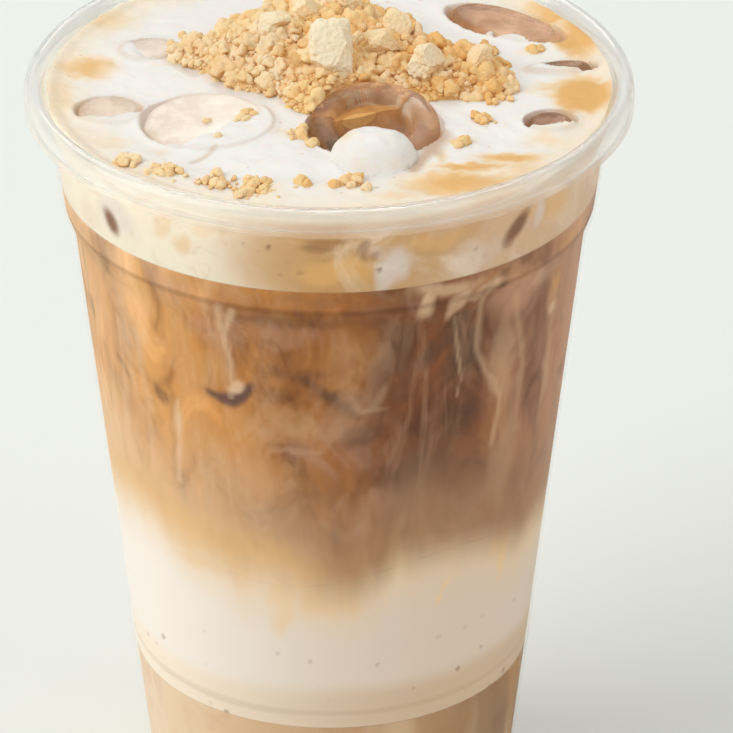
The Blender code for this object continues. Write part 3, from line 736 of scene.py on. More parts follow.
# The foam: milk froth over the coffee, level just under the rim, white in the middle and
# stained amber where coffee has come through. It hollows out over the ice that lies in it,
# heaps into a round blob over the front ice, and shows a brown-stained band at the wall.
FOAM_LEVEL = 138.0 * MM
FOAM_RELIEF = (
    # height, size and seed of each layer of the froth's relief
    (0.5 * MM, 14.0 * MM, 0.0), (0.16 * MM, 3.4 * MM, 2.0), (0.06 * MM, 1.3 * MM, 5.0),
)
WALL_RISE, WALL_RISE_FROM, WALL_RISE_TO = 0.5 * MM, 43.0 * MM, 45.2 * MM
LIP_HEIGHT, LIP_WIDTH, FROTH_OVER_ICE = 0.2 * MM, 0.7, 0.25
FLAT_UNDER_HEAP, SWELL_RISE = 1.15, 0.3
DOME_CENTRE = (7.1 * MM, -25.7 * MM)
DOME_RADII = (6.8 * MM, 5.9 * MM, 4.4 * MM)
DOME_LUMPS = ((0.3 * MM, 2.4 * MM, 8.0), (0.12 * MM, 0.9 * MM, 9.0))
DOME_SINK, DOME_EDGE = 0.2 * MM, 0.15 * MM
HEAP_CENTRE = (-1.7 * MM, 8.8 * MM)
HEAP_RADII = (18.0 * MM, 22.0 * MM)
HEAP_HEIGHT, HEAP_EDGE, HEAP_FULLNESS = 6.2 * MM, 0.8 * MM, 1.15
HEAP_LOBES = (
    # heading from the heap's centre, reach beyond the plain oval, width
    (math.radians(-13.0), 0.87, math.radians(18.5)),
    (math.radians(178.0), 0.38, math.radians(11.0)),
    (math.radians(-124.0), -0.28, math.radians(21.0)),
)


class Ice(NamedTuple):
    """A piece of floating ice, seen from above, in mm and degrees."""
    east: float
    north: float
    length: float  # half of it, before the turn
    width: float  # half of it
    top: float  # above the foam
    tilt: float  # towards the front
    turn: float  # about Z
    depth: float
    pit: float  # in the foam round it
    under: float  # how brown the drink is under it, from 0 to 1
    brown: float  # how brown the ice itself is


ICE = {
    "ice_front": Ice(7.2, -15.5, 10.5, 10.5, 1.3, 14.0, 0.0, 8.5, 9.0, 0.6, 0.84),
    "ice_left": Ice(-19.3, -13.6, 10.2, 9.4, 0.3, 5.0, 0.0, 8.0, 0.8, 0.16, 0.2),
    "ice_far_left": Ice(-35.0, -9.2, 5.2, 4.6, 0.3, 7.0, 0.0, 6.0, 1.0, 0.4, 0.5),
    "ice_back_right": Ice(28.7, 22.2, 10.2, 4.6, 0.6, 5.0, -33.0, 7.0, 3.6, 0.9, 0.9),
    "ice_right": Ice(37.4, 6.0, 4.9, 1.7, 0.7, 4.0, 11.0, 6.0, 3.0, 0.95, 0.9),
    "ice_right_front": Ice(35.2, -13.6, 3.8, 3.4, 0.5, 4.0, 0.0, 5.5, 4.0, 1.0, 1.0),
    "ice_back_left": Ice(-29.3, 12.6, 4.6, 3.6, 0.6, 4.0, 20.0, 6.0, 0.8, 0.25, 0.3),
}
FROTHED = {
    # which way from the ice's centre the froth lies over it, and from what share of its length
    "ice_left": (math.radians(-40.0), 0.15), "ice_far_left": (math.radians(-80.0), 0.25),
    "ice_back_left": (math.radians(-150.0), 0.2), "ice_back_right": (math.radians(-110.0), 0.4),
    "ice_right": (math.radians(-90.0), 0.1), "ice_right_front": (math.radians(-80.0), 0.35),
}
TORN_EDGE = ((0.25, 4.0 * MM, 12.0), (0.07, 1.4 * MM, 15.0))
DARK_ICE, DARK_FADE, PALE_FADE = 0.6, 0.12, 0.45
BARE_MARGIN = 0.6
FOAM_RINGS = 130
BAND_LOW = 126.0 * MM
DARK_BEND = 0.2
FOAM_WHITE = (0.87, 0.855, 0.825)
FOAM_CREAM = (0.90, 0.73, 0.48)
FOAM_AMBER = (0.79, 0.44, 0.13)
UNDER_TAN = (0.60, 0.42, 0.28)
UNDER_BROWN = (0.20, 0.09, 0.04)
BAND_CREAM = (0.92, 0.82, 0.66)
BAND_TAN = (0.58, 0.32, 0.12)
BAND_ROSE = (0.68, 0.45, 0.28)
BAND_AMBER = (0.82, 0.47, 0.16)
BAND_LILAC = (0.74, 0.64, 0.58)
BAND_DARK = (0.23, 0.092, 0.036)
STAINS = (
    # east, north, half width, half depth in mm, strength: amber patches on the foam
    (-39.1, 6.2, 4.6, 4.4, 0.8), (-43.0, -4.0, 2.4, 10.0, 0.45), (-37.0, 24.0, 7.0, 4.0, 0.5),
    (40.7, -3.7, 4.6, 6.4, 1.5), (37.0, -1.2, 5.0, 2.6, 0.6), (34.5, -20.0, 4.0, 3.0, 0.45),
    (21.5, -29.4, 6.0, 1.7, 1.0), (28.5, -26.2, 6.0, 2.2, 0.95), (17.6, -26.0, 1.6, 3.2, 0.5),
    (20.5, -35.0, 9.5, 4.6, 1.0), (11.5, -39.0, 5.0, 2.0, 0.45), (30.0, -30.0, 5.0, 4.0, 0.5),
    (40.5, 18.0, 3.6, 9.0, 1.1), (37.0, 27.0, 5.0, 5.0, 0.95), (-25.5, 7.8, 3.0, 0.7, 0.35),
    (-33.5, -20.0, 5.0, 3.0, 0.4), (-27.0, -24.0, 2.4, 2.4, 0.35), (3.0, -35.5, 5.0, 2.2, 0.35),
    (-11.0, -36.5, 6.0, 2.4, 0.35), (20.5, -19.8, 2.2, 1.6, 0.45), (33.0, 12.0, 3.0, 1.2, 0.35),
    (-6.5, -17.5, 3.0, 2.0, 0.4), (2.5, -24.0, 2.6, 3.4, 0.4), (-17.0, -12.5, 1.4, 2.2, 0.3),
)
SCARS = (
    # east and north of each end of a thin brown line in the foam, half width in mm, strength
    (-26.9, 9.4, -22.0, 3.4, 0.7, 0.5), (-21.4, -27.8, -19.6, -25.8, 0.45, 0.8),
    (-19.6, -25.8, -17.8, -22.8, 0.45, 0.75), (-32.6, 15.4, -29.0, 12.0, 0.8, 0.35),
    (20.0, 6.2, 22.0, 5.0, 0.4, 0.3), (17.2, -18.0, 16.0, -24.0, 1.7, 1.25),
    (16.0, -24.0, 13.3, -30.2, 1.0, 1.25),
)
BAND_BLOTS = {
    "dark": (
        (-51.0, 127.6, 1.6, 2.1, -0.3, 0.95), (41.7, 129.3, 1.7, 2.7, 0.6, 0.95),
        (39.8, 127.0, 1.3, 1.1, 0.0, 0.6), (0.0, 132.7, 3.4, 0.55, 0.0, 0.5),
        (7.2, 131.8, 0.8, 1.1, 0.4, 0.55),
        (9.4, 129.8, 0.8, 0.9, 0.4, 0.4), (10.4, 127.3, 0.36, 0.42, 0.0, 0.85),
        (-12.0, 131.2, 0.36, 0.3, 0.0, 0.9), (-5.7, 127.0, 0.34, 0.34, 0.0, 0.7),
        (-16.9, 131.4, 0.24, 0.22, 0.0, 0.5), (-14.5, 130.3, 0.2, 0.2, 0.0, 0.5),
        (-8.0, 129.0, 0.2, 0.2, 0.0, 0.5), (-1.1, 129.2, 0.22, 0.22, 0.0, 0.5),
        (-4.0, 131.5, 0.25, 0.25, 0.0, 0.4), (-10.0, 126.4, 0.2, 0.2, 0.0, 0.4),
        (31.5, 128.0, 0.3, 0.26, 0.0, 0.5), (-2.0, 131.6, 2.6, 0.9, 0.0, 0.55),
        (7.0, 130.4, 0.9, 1.6, -0.3, 0.5),
    ),
    "tan": (
        (-3.0, 128.6, 11.5, 6.0, 0.0, 0.8), (20.5, 130.5, 5.4, 2.2, 0.1, 0.9),
        (20.0, 126.6, 4.0, 2.6, 0.0, 0.5), (30.0, 131.5, 3.0, 3.0, 0.5, 0.7),
        (-15.0, 130.5, 4.5, 3.0, 0.3, 0.35), (0.0, 133.9, 26.0, 0.9, 0.0, 0.7),
        (-33.0, 134.2, 12.0, 0.7, 0.0, 0.5), (48.0, 134.2, 14.0, 0.9, 0.0, 0.55),
        (-60.0, 126.0, 3.0, 3.0, 0.0, 0.2),
    ),
    "amber": (
        (22.0, 131.0, 4.6, 1.2, 0.0, 0.5), (1.5, 127.0, 6.0, 2.6, 0.0, 0.65),
        (-31.2, 129.4, 1.7, 1.8, 0.0, 0.6),
        (-36.0, 132.0, 1.6, 2.4, 0.3, 0.5), (53.0, 130.0, 3.0, 3.4, 0.0, 0.5),
        (-26.6, 132.3, 2.2, 1.1, 0.0, 0.3), (44.0, 131.4, 2.6, 1.2, 0.0, 0.35),
        (56.0, 129.0, 2.4, 3.0, 0.0, 0.3),
    ),
    "lilac": (
        (13.6, 127.8, 2.3, 3.6, 0.1, 0.95), (-49.0, 129.0, 4.6, 3.6, 0.0, 0.6),
        (48.0, 130.0, 1.2, 2.4, 0.2, 0.7), (10.9, 130.8, 1.8, 1.2, 0.0, 0.5),
        (33.0, 126.6, 5.0, 2.2, 0.0, 0.3),
    ),
}


def heap_reach(angle):
    """How far the heap reaches each way, beside a plain oval."""
    reach = np.ones_like(angle)
    for heading, height, width in HEAP_LOBES:
        off = (angle - heading + math.pi) % math.tau - math.pi
        reach += height * np.exp(-(off / width) ** 2)
    return reach


def heap_share(x, y):
    """0 at the heap's centre and 1 on its uneven outline."""
    east = (x - HEAP_CENTRE[0]) / HEAP_RADII[0]
    north = (y - HEAP_CENTRE[1]) / HEAP_RADII[1]
    return np.hypot(east, north) / heap_reach(np.arctan2(north, east))


def heap_height(x, y):
    """The height of the heap's plain form."""
    share = np.minimum(1.0, heap_share(x, y))
    return FOAM_LEVEL + HEAP_EDGE + HEAP_HEIGHT * (1.0 - share**2) ** HEAP_FULLNESS


def ripple(x, y, size, height=0.0):
    """Smooth noise from -1 to 1 over arrays of x and y."""
    places = np.stack([np.ravel(x), np.ravel(y)], -1) / size
    values = [noise.noise(Vector((a, b, height))) for a, b in places]
    return np.array(values).reshape(np.shape(x))


def layered_relief(x, y, layers):
    """The sum of ripples of several heights and sizes."""
    return sum(height * ripple(x, y, size, seed) for height, size, seed in layers)


def ice_share(name, x, y):
    """0 at an ice piece's centre and 1 on its outline, seen from above."""
    ice = ICE[name]
    turn = math.radians(ice.turn)
    east, north = x / MM - ice.east, y / MM - ice.north
    across = east * math.cos(turn) + north * math.sin(turn)
    along = north * math.cos(turn) - east * math.sin(turn)
    return np.hypot(across / ice.length, along / ice.width)


def ice_shown(name, x, y):
    """1 where the ice lies bare, 0 beyond it and where froth has run over it."""
    ice = ICE[name]
    bare = soft_step(ice_share(name, x, y), 1.0 + BARE_MARGIN / ice.width, 1.0)
    if name in FROTHED:
        heading, reach = FROTHED[name]
        east, north = x / MM - ice.east, y / MM - ice.north
        over = (east * math.cos(heading) + north * math.sin(heading)) / ice.length
        over = over + layered_relief(x, y, TORN_EDGE)
        fade = DARK_FADE if ice.brown > DARK_ICE else PALE_FADE
        bare = bare * soft_step(over, reach + fade, reach - fade)
    return bare


def dome_height(x, y):
    """The blob's height over the foam, 0 beside it."""
    reach = np.hypot((x - DOME_CENTRE[0]) / DOME_RADII[0], (y - DOME_CENTRE[1]) / DOME_RADII[1])
    return DOME_RADII[2] * np.sqrt(np.clip(1.0 - reach**2.4, 0.0, 1.0))


def foam_surface(x, y):
    """The froth's relief: swells, a rise at the wall, pits over the ice, and the blob."""
    clear_of_heap = np.clip((heap_share(x, y) - FLAT_UNDER_HEAP) / SWELL_RISE, 0.0, 1.0)
    height = FOAM_LEVEL + layered_relief(x, y, FOAM_RELIEF) * clear_of_heap
    height = height + WALL_RISE * soft_step(np.hypot(x, y), WALL_RISE_FROM, WALL_RISE_TO)
    for name, ice in ICE.items():
        share = ice_share(name, x, y)
        margin = LIP_WIDTH / ice.width
        lip = np.exp(-((share - 1.0 - margin) / (0.9 * margin)) ** 2)
        shown = ice_shown(name, x, y)
        covered = soft_step(share, 1.0 + margin, 1.0) * (1.0 - shown)
        over_ice = (ice.top + FROTH_OVER_ICE) * MM
        height = height + LIP_HEIGHT * lip + over_ice * covered - ice.pit * MM * shown
    dome = dome_height(x, y)
    blob = FOAM_LEVEL - DOME_SINK + dome + layered_relief(x, y, DOME_LUMPS)
    return np.where(dome > 0, np.maximum(height, blob), height)


def off_the_dome(x, y, mask):
    return np.where(dome_height(x, y) > DOME_EDGE, 0.0, mask)


def under_mask(points):
    """How brown the drink in the pits over the ice is, with none on the blob."""
    x, y = points[:, 0], points[:, 1]
    mask = np.zeros(len(points))
    for name, ice in ICE.items():
        mask = np.maximum(mask, ice.under * ice_shown(name, x, y))
    return off_the_dome(x, y, mask) * (points[:, 2] > BAND_LOW)


def stain_mask(points):
    """The amber stains on the foam, with uneven edges."""
    x, y = points[:, 0] / MM, points[:, 1] / MM
    bent = np.array([noise.noise(Vector((a / 5.0, b / 5.0, 3.0))) for a, b in zip(x, y)])
    more = np.array([noise.noise(Vector((a / 1.7, b / 1.7, 30.0))) for a, b in zip(x, y)])
    x, y = x + 1.6 * bent + 0.5 * more, y + 1.3 * more + 0.8 * bent
    mask = np.zeros(len(points))
    for east, north, wide, deep, strength in STAINS:
        reach = np.hypot((x - east) / wide, (y - north) / deep)
        mask = np.maximum(mask, strength * soft_step(reach, 1.7, 0.1))
    return mask


def scar_mask(points):
    """The brown lines in the foam, and the ones round each piece of ice."""
    x, y = points[:, 0] / MM, points[:, 1] / MM
    mask = np.zeros(len(points))
    for east_a, north_a, east_b, north_b, half, strength in SCARS:
        off = off_run(x - east_a, y - north_a, east_b - east_a, north_b - north_a)
        mask = np.maximum(mask, strength * soft_step(off, 1.8 * half, 0.2 * half))
    for name, ice in ICE.items():
        share = ice_share(name, x * MM, y * MM)
        line = np.exp(-((share - 1.0 - 0.25 / ice.width) * ice.width / 0.42) ** 2)
        back = 0.5 + 0.5 * np.sin(np.arctan2(y - ice.north, ice.east - x) + 0.5)
        mask = np.maximum(mask, line * (0.15 + 0.65 * back))
    return off_the_dome(x * MM, y * MM, mask)


foam_finish, foam_shader, place = new_finish(
    "foam", Roughness=0.42, IOR=1.35, Specular_IOR_Level=0.3, Subsurface_Weight=0.2,
    Subsurface_Scale=1.6 * MM)
east, _, up = place.axes()
patch = place.noise(75.0, 4.0, 0.6, 0.8)
cloud = place.noise(210.0, 4.0, 0.6, 1.5)
stain = (place.mask("stain") * (0.75 + 0.5 * patch)).held()
radius = place.node("ShaderNodeVectorMath", {"operation": "LENGTH"},
                    {0: place.stretched((1.0, 1.0, 0.0))}, out="Value")
rim_warm = (radius + (patch - 0.5) * (14.0 * MM)).ramp(35.0 * MM, 46.0 * MM)
colour = (rim_warm * 0.6 + cloud.ramp(0.52, 0.72) * 0.14).paint(FOAM_WHITE, FOAM_CREAM)
colour = stain.ramp(0.0, 0.75).paint(colour, FOAM_CREAM)
colour = stain.ramp(0.2, 1.1).paint(colour, FOAM_AMBER)
under = place.mask("under")
below = under.ramp(0.45, 1.0).paint(UNDER_TAN, UNDER_BROWN)
colour = under.ramp(0.02, 0.5).paint(colour, below)
colour = (place.mask("scar") * 0.7).paint(colour, UNDER_TAN)
side = up.ramp(137.0 * MM, 135.6 * MM)
band = (east + (patch - 0.5) * (8.0 * MM)).ramp(-0.024, 0.0).paint(BAND_CREAM, BAND_TAN)
band = (east + (patch - 0.5) * (8.0 * MM)).ramp(0.004, 0.022).paint(band, BAND_ROSE)
band = (place.mask("tan") * (0.3 + patch)).paint(band, BAND_TAN)
band = (place.mask("amber") * (0.4 + patch)).paint(band, BAND_AMBER)
band = (place.mask("lilac") * (0.4 + patch)).paint(band, BAND_LILAC)
band = (patch.ramp(0.48, 0.68) * 0.45).paint(band, BAND_CREAM)
band = (cloud.ramp(0.52, 0.72) * 0.2).paint(band, BAND_TAN)
band = place.mask("dark").paint(band, BAND_DARK)
colour = side.paint(colour, band)
bubbles = place.bubbles(420.0)
few = place.noise(150.0, 1.0).ramp(0.56, 0.62)
colour = (bubbles.ramp(0.18, 0.08) * few * 0.4).paint(colour, BAND_ROSE)
relief = place.noise(650.0, 3.0) * 0.5 + cloud * 0.3 + bubbles.ramp(0.05, 0.16) * few * 0.3
feed(foam_shader, Base_Color=colour, Normal=relief.bump(0.45, 0.3 * MM))
foam_rows = layer_rows(level(COFFEE_LEVEL + 0.02 * MM), foam_surface, 3, FOAM_RINGS, 0.5 * MM)
foam = ringed_piece("foam", foam_rows, foam_finish)
band_marks = {name: partial(side_mask, blots=blots, bend=DARK_BEND if name == "dark" else BLOT_BEND)
              for name, blots in BAND_BLOTS.items()}
give(foam, under=under_mask, stain=stain_mask, scar=scar_mask, **band_marks)
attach(foam, "root")
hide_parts("foam_layer")


# The ice: cloudy pieces with worn round edges, afloat in the froth and wet with it. The
# front one is a hollow thimble of ice, tipped towards the front.
ICE_ROUND = 1.6
HOLLOW_RADIUS, HOLLOW_DEPTH, HOLLOW_ROUND, HOLLOW_LIP = 6.2, 5.0, 2.4, 1.0
ICE_CROWN = 0.15
ICE_SPACING = 0.7
ICE_FACETS = 96
ICE_UNEVEN, ICE_UNEVEN_SIZE = 0.035, 4.0 * MM
LEFT_SHADE_TINT = 0.18


def ice_look(name, transmission):
    """Ice that is clear or, with less transmission, milky, browned by a tint attribute that also carries
    painted shade.
    """
    material, shader, place = new_finish(name, Transmission_Weight=transmission, IOR=1.24,
                                         Specular_IOR_Level=0.25)
    frost = place.noise(260.0, 3.0, 0.6)
    tint = place.mask("tint")
    clear_tint = tint.paint((0.99, 0.96, 0.90), (0.78, 0.57, 0.40))
    cloudy_tint = tint.paint((0.92, 0.85, 0.75), (0.50, 0.32, 0.19))
    feed(shader, Roughness=0.08 + frost * 0.25, Normal=place.noise(180.0, 2.0).bump(0.3, 0.3 * MM),
         Base_Color=frost.ramp(0.35, 0.65).paint(clear_tint, cloudy_tint))
    let_lamps_through(material, shader)
    return material


clear_ice = ice_look("clear_ice", 0.86)
milky_ice = ice_look("milky_ice", 0.30)


def ice_profile(length, depth, hollow):
    """Half section of an ice piece in mm, with its top edge at height 0."""
    round_edge = min(ICE_ROUND, 0.45 * length)
    if hollow:
        points = [(0.01, -HOLLOW_DEPTH)]
        points += arc((HOLLOW_RADIUS - HOLLOW_ROUND, HOLLOW_ROUND - HOLLOW_DEPTH),
                      (HOLLOW_ROUND, HOLLOW_ROUND), -90, 0, 8)
        points += arc((HOLLOW_RADIUS + HOLLOW_LIP, -HOLLOW_LIP), (HOLLOW_LIP, HOLLOW_LIP), 180, 90, 6)
    else:
        points = [(0.01, ICE_CROWN)]
    points += arc((length - round_edge, -round_edge), (round_edge, round_edge), 90, 0, 9)
    points += arc((length - round_edge, round_edge - depth), (round_edge, round_edge), 0, -90, 7)
    return points + [(0.01, -depth)]


for name, ice in ICE.items():
    profile = smooth_line(ice_profile(ice.length, ice.depth, name == "ice_front"), ICE_SPACING)
    rows = turned_rows(np.array(profile) * MM, ICE_FACETS).reshape(-1, 3)
    place_matrix = (
        Matrix.Translation((ice.east * MM, ice.north * MM, FOAM_LEVEL + ice.top * MM))
        @ Matrix.Rotation(math.radians(ice.tilt), 4, "X")
        @ Matrix.Rotation(math.radians(ice.turn), 4, "Z")
        @ Matrix.Diagonal((1.0, ice.width / ice.length, 1.0, 1.0))
    )
    moved = []
    for point in rows:
        uneven = noise.noise(Vector(point) / ICE_UNEVEN_SIZE + Vector((ice.east, 0, 0)))
        moved.append(place_matrix @ (Vector(point) * (1.0 + ICE_UNEVEN * uneven)))
    rows = np.array(moved).reshape(-1, ICE_FACETS, 3)
    finish = milky_ice if ice.brown < DARK_ICE else clear_ice
    ice_piece = ringed_piece(name.replace("ice_", "ice_piece_"), rows, finish)
    # The tint is the ice's brownness plus painted shade, darker and browner towards each piece's left.
    give(ice_piece, tint=lambda points: ice.brown + LEFT_SHADE_TINT * (
        ice.east * MM - points[:, 0]) / (ice.length * MM))
    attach(ice_piece, "root")
    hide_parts(name)


# The crumble: marzipan rubbed into crumbs and heaped on the foam. A lumpy core carries the
# heap, with a few large broken chunks on it and loose crumbs of all sizes over both.
CHUNKS = (
    # east, north and radius in mm, stretch across, along and up, turn about Z in degrees
    (0.4, -1.2, 5.3, (0.90, 0.74, 1.12), 8.0), (15.5, -1.0, 3.3, (1.1, 0.9, 1.0), 70.0),
    (8.5, 2.0, 2.9, (0.9, 1.0, 1.0), 130.0), (-9.0, 8.0, 2.9, (1.2, 0.9, 0.8), 200.0),
    (2.0, 18.0, 3.1, (1.0, 1.0, 0.9), 250.0), (24.0, 2.0, 2.6, (1.0, 0.9, 1.0), 310.0),
    (11.0, 8.5, 2.8, (1.1, 0.9, 0.9), 30.0), (-4.0, 13.0, 2.7, (1.1, 0.9, 0.9), 90.0),
)
BREAKS = (
    # which way each broken side of a chunk faces, and how far out it lies, of its radius
    (-0.20, -0.80, 0.62, 0.56), (0.95, -0.15, 0.12, 0.64), (-0.92, -0.10, 0.22, 0.72),
    (0.05, 0.15, 1.0, 0.78), (-0.6, -0.1, 0.8, 0.84), (0.1, 1.0, 0.2, 0.7),
)
CRUMB_SHAPES = 8
CRUMB_GOLD = (1.0, 0.73, 0.36)
CRUMB_PALE = (1.0, 0.84, 0.59)
CHUNK_BUTTER = (1.0, 0.92, 0.72)
CRUMB_TOAST = (0.88, 0.49, 0.16)
CRUMB_PAINTED_SHADE = (0.66, 0.32, 0.09)
HEAP_SEED = 7
CORE_FACETS, CORE_RINGS, CORE_REACH = 300, 100, 0.95
CORE_SINK, SOLE_SINK, HOLLOW_SINK = 0.9 * MM, 0.6 * MM, 7.0 * MM
CHUNK_DETAIL, CHUNK_ROUGH, CHUNK_SEED = 6, 0.55, 20.0
LOOSE_AT_ONCE, LOOSE_SMALLEST, LOOSE_RANGE = 6, 0.28, 0.72
GRAINS = (
    # piece, fineness and roughness of its crumbs, crumbs to the square metre of core, smallest
    # and largest radius in mm, what is added to the seed
    ("crumb_clumps", 4, 0.9, 60000.0, 1.2, 2.1, 5), ("coarse_crumbs", 3, 0.75, 280000.0, 0.7, 1.5, 0),
    ("fine_crumbs", 2, 0.7, 900000.0, 0.35, 0.95, 1), ("crumble_dust", 1, 0.5, 3000000.0, 0.12, 0.34, 2),
)
SCATTER = (
    # east, north and spread in mm of the crumbs that lie on the foam, and how many sixes of them
    (-31.7, -27.6, 1.4, 4), (-25.8, -31.1, 2.2, 6), (-17.9, -35.0, 2.0, 4), (-11.7, -37.3, 2.4, 9),
    (-4.2, -35.2, 1.2, 3), (3.4, -34.5, 2.0, 4), (24.6, -13.0, 1.2, 3), (20.8, -21.6, 0.9, 2),
    (33.5, 12.5, 0.9, 2), (-4.6, -18.0, 1.3, 5), (-2.6, -21.4, 0.8, 2), (-19.4, -13.8, 0.3, 1),
    (-17.4, -19.0, 0.3, 1), (-13.6, -12.2, 1.6, 3), (27.0, -4.0, 2.4, 5), (-25.0, 13.0, 1.4, 3),
    (-22.0, 17.0, 1.6, 3), (24.5, 11.0, 2.2, 7), (27.5, 7.5, 1.6, 4),
)

crumb_finish, crumb_shader, place = new_finish(
    "crumble", Roughness=0.9, IOR=1.4, Specular_IOR_Level=0.15, Subsurface_Weight=0.08,
    Subsurface_Scale=0.6 * MM)
grain = place.noise(1100.0, 4.0, 0.65)
tone = place.noise(150.0, 3.0)
colour = tone.ramp(0.40, 0.72).paint(CRUMB_GOLD, CRUMB_PALE)
east = place.axes()[0]
# Toasted crumbs, with painted shade towards the heap's right and painted light, paler, towards its left.
toast_and_right_shade = place.mask("toast") * 0.9 + east.ramp(-0.02, 0.03) * 0.35
colour = (toast_and_right_shade * 0.8).paint(colour, CRUMB_TOAST)
colour = (east.ramp(0.0, -0.02) * 0.3).paint(colour, CRUMB_PALE)
pale = place.mask("pale")
colour = (pale * 0.85).paint(colour, CHUNK_BUTTER)
colour = (grain.ramp(0.54, 0.74) * 0.4).paint(colour, CRUMB_PALE)
colour = (grain.ramp(0.44, 0.28) * 0.45).paint(colour, CRUMB_TOAST)
# Painted shade on faces that turn down or sideways, with less of it on the pale chunks.
facing_up = place.node("ShaderNodeTexCoord", {}, {}, out="Normal").axes()[2]
colour = (facing_up.ramp(0.30, -0.55) * (0.75 - 0.35 * pale)).paint(colour, CRUMB_PAINTED_SHADE)
feed(crumb_shader, Base_Color=colour, Normal=grain.bump(1.0, 0.4 * MM))


def core_height(x, y):
    """The core's lumpy top, which dips out of the hollow in the front ice."""
    lumps = ripple(x, y, 4.2 * MM, 7.0) * 1.0 * MM + np.abs(ripple(x, y, 1.5 * MM, 1.0)) * 1.1 * MM
    lumps = lumps + ripple(x, y, 0.55 * MM, 3.0) * 0.3 * MM
    height = heap_height(x, y) - CORE_SINK + lumps
    return height - HOLLOW_SINK * soft_step(ice_share("ice_front", x, y), 1.10, 1.02)


def bare_mask(points):
    """1 where no crumbs are strewn: at the front ice and on the core's sole."""
    at_ice = soft_step(ice_share("ice_front", points[:, 0], points[:, 1]), 1.12, 1.06)
    return at_ice + (points[:, 2] < FOAM_LEVEL)


core_angles = math.tau * np.arange(CORE_FACETS) / CORE_FACETS
core_rows = []
for share in np.linspace(0.01, CORE_REACH, CORE_RINGS):
    reach = share * heap_reach(core_angles)
    x = HEAP_CENTRE[0] + HEAP_RADII[0] * reach * np.cos(core_angles)
    y = HEAP_CENTRE[1] + HEAP_RADII[1] * reach * np.sin(core_angles)
    core_rows.append(np.stack([x, y, core_height(x, y)], -1))
sole = core_rows[-1].copy()
sole[:, 2] = FOAM_LEVEL - SOLE_SINK
core_rows.append(sole)
core = ringed_piece("crumble_core", core_rows, crumb_finish)
# The core is marked well toasted: painted shade in the gaps between the crumbs that lie on it.
give(core, toast=np.full(len(core.data.vertices), 0.9), bare=bare_mask)


def crumb_shape(radius, detail, rough, seed, stretch=(1.0, 1.0, 1.0), breaks=()):
    """A crumb of small grains stuck together, with some flat broken sides where asked."""
    crumb = bmesh.new()
    bmesh.ops.create_icosphere(crumb, subdivisions=detail, radius=1.0)
    shift = Vector((seed * 3.1, seed * 1.7, seed * 0.9))
    dice = random.Random(int(seed * 10))

    def random_way():
        return Vector((dice.gauss(0, 1), dice.gauss(0, 1), dice.gauss(0, 0.8))).normalized()

    planes = [(Vector(facing).normalized(), reach) for *facing, reach in breaks]
    lumpy = detail > 3
    grains = [(random_way(), dice.uniform(0.2, 0.55)) for _ in range(22 if lumpy else 7)]
    grain_width = 0.3 if lumpy else 0.5
    for vert in crumb.verts:
        way = vert.co.copy()
        size = 0.86 + 0.6 * rough * noise.noise(way * 1.2 + shift)
        for middle, reach in grains:
            size += 0.55 * rough * reach * math.exp(-((way - middle).length / grain_width) ** 2)
        spot = way * size
        for facing, reach in planes:
            spot -= 0.94 * facing * max(0.0, spot.dot(facing) - reach)
        pitted = 0.13 * rough * noise.noise(way * 5.0 + shift)
        spot *= 1.0 + pitted + 0.07 * rough * noise.noise(way * 14.0)
        vert.co = Vector(a * b * radius for a, b in zip(spot, stretch))
    mesh = bpy.data.meshes.new("crumb")
    crumb.to_mesh(mesh)
    crumb.free()
    return mesh


def gathered(name, shapes):
    """One piece from meshes in place, each with its toast and pale values."""
    bunch = bmesh.new()
    toasts, pales = [], []
    for shape, toast, pale in shapes:
        bunch.from_mesh(shape)
        toasts += [toast] * len(shape.vertices)
        pales += [pale] * len(shape.vertices)
    mesh = bpy.data.meshes.new(name)
    bunch.to_mesh(mesh)
    bunch.free()
    mesh.shade_smooth()
    mesh.materials.append(crumb_finish)
    piece = bpy.data.objects.new(name, mesh)
    scene.collection.objects.link(piece)
    give(piece, toast=np.array(toasts), pale=np.array(pales))
    return piece


chunk_shapes = []
for index, (east_mm, north_mm, radius_mm, stretch, turn) in enumerate(CHUNKS):
    breaks = BREAKS if index < 2 else BREAKS[:3]
    shape = crumb_shape(radius_mm * MM, CHUNK_DETAIL, CHUNK_ROUGH, index + CHUNK_SEED, stretch, breaks)
    x, y = east_mm * MM, north_mm * MM
    height = float(heap_height(np.array(x), np.array(y))) + 0.3 * radius_mm * MM
    shape.transform(Matrix.Translation((x, y, height)) @ Matrix.Rotation(math.radians(turn), 4, "Z"))
    chunk_shapes.append((shape, 0.0, 0.85 if index == 0 else 0.4))
chunks = gathered("crumble_chunks", chunk_shapes)

dice = random.Random(HEAP_SEED)
loose_shapes = []
for east_mm, north_mm, spread, count in SCATTER:
    for _ in range(LOOSE_AT_ONCE * count):
        radius = (LOOSE_SMALLEST + LOOSE_RANGE * dice.random() ** 1.6) * MM
        x = (east_mm + dice.gauss(0, 0.6 * spread)) * MM
        y = (north_mm + dice.gauss(0, 0.6 * spread)) * MM
        shape = crumb_shape(radius, 3, 0.7, dice.uniform(1, 90))
        shape.transform(Matrix.Translation((x, y, FOAM_LEVEL + 0.3 * radius)))
        loose_shapes.append((shape, dice.random() ** 2, 0.0))
loose = gathered("loose_crumbs", loose_shapes)


def shape_set(name, detail, rough):
    """A collection of crumbs of unit size for the scatter."""
    group = bpy.data.collections.new(name)
    for index in range(CRUMB_SHAPES):
        crumb = bpy.data.objects.new(f"{name}_{index}", crumb_shape(1.0, detail, rough, index + 1.0))
        crumb.data.materials.append(crumb_finish)
        group.objects.link(crumb)
    return group


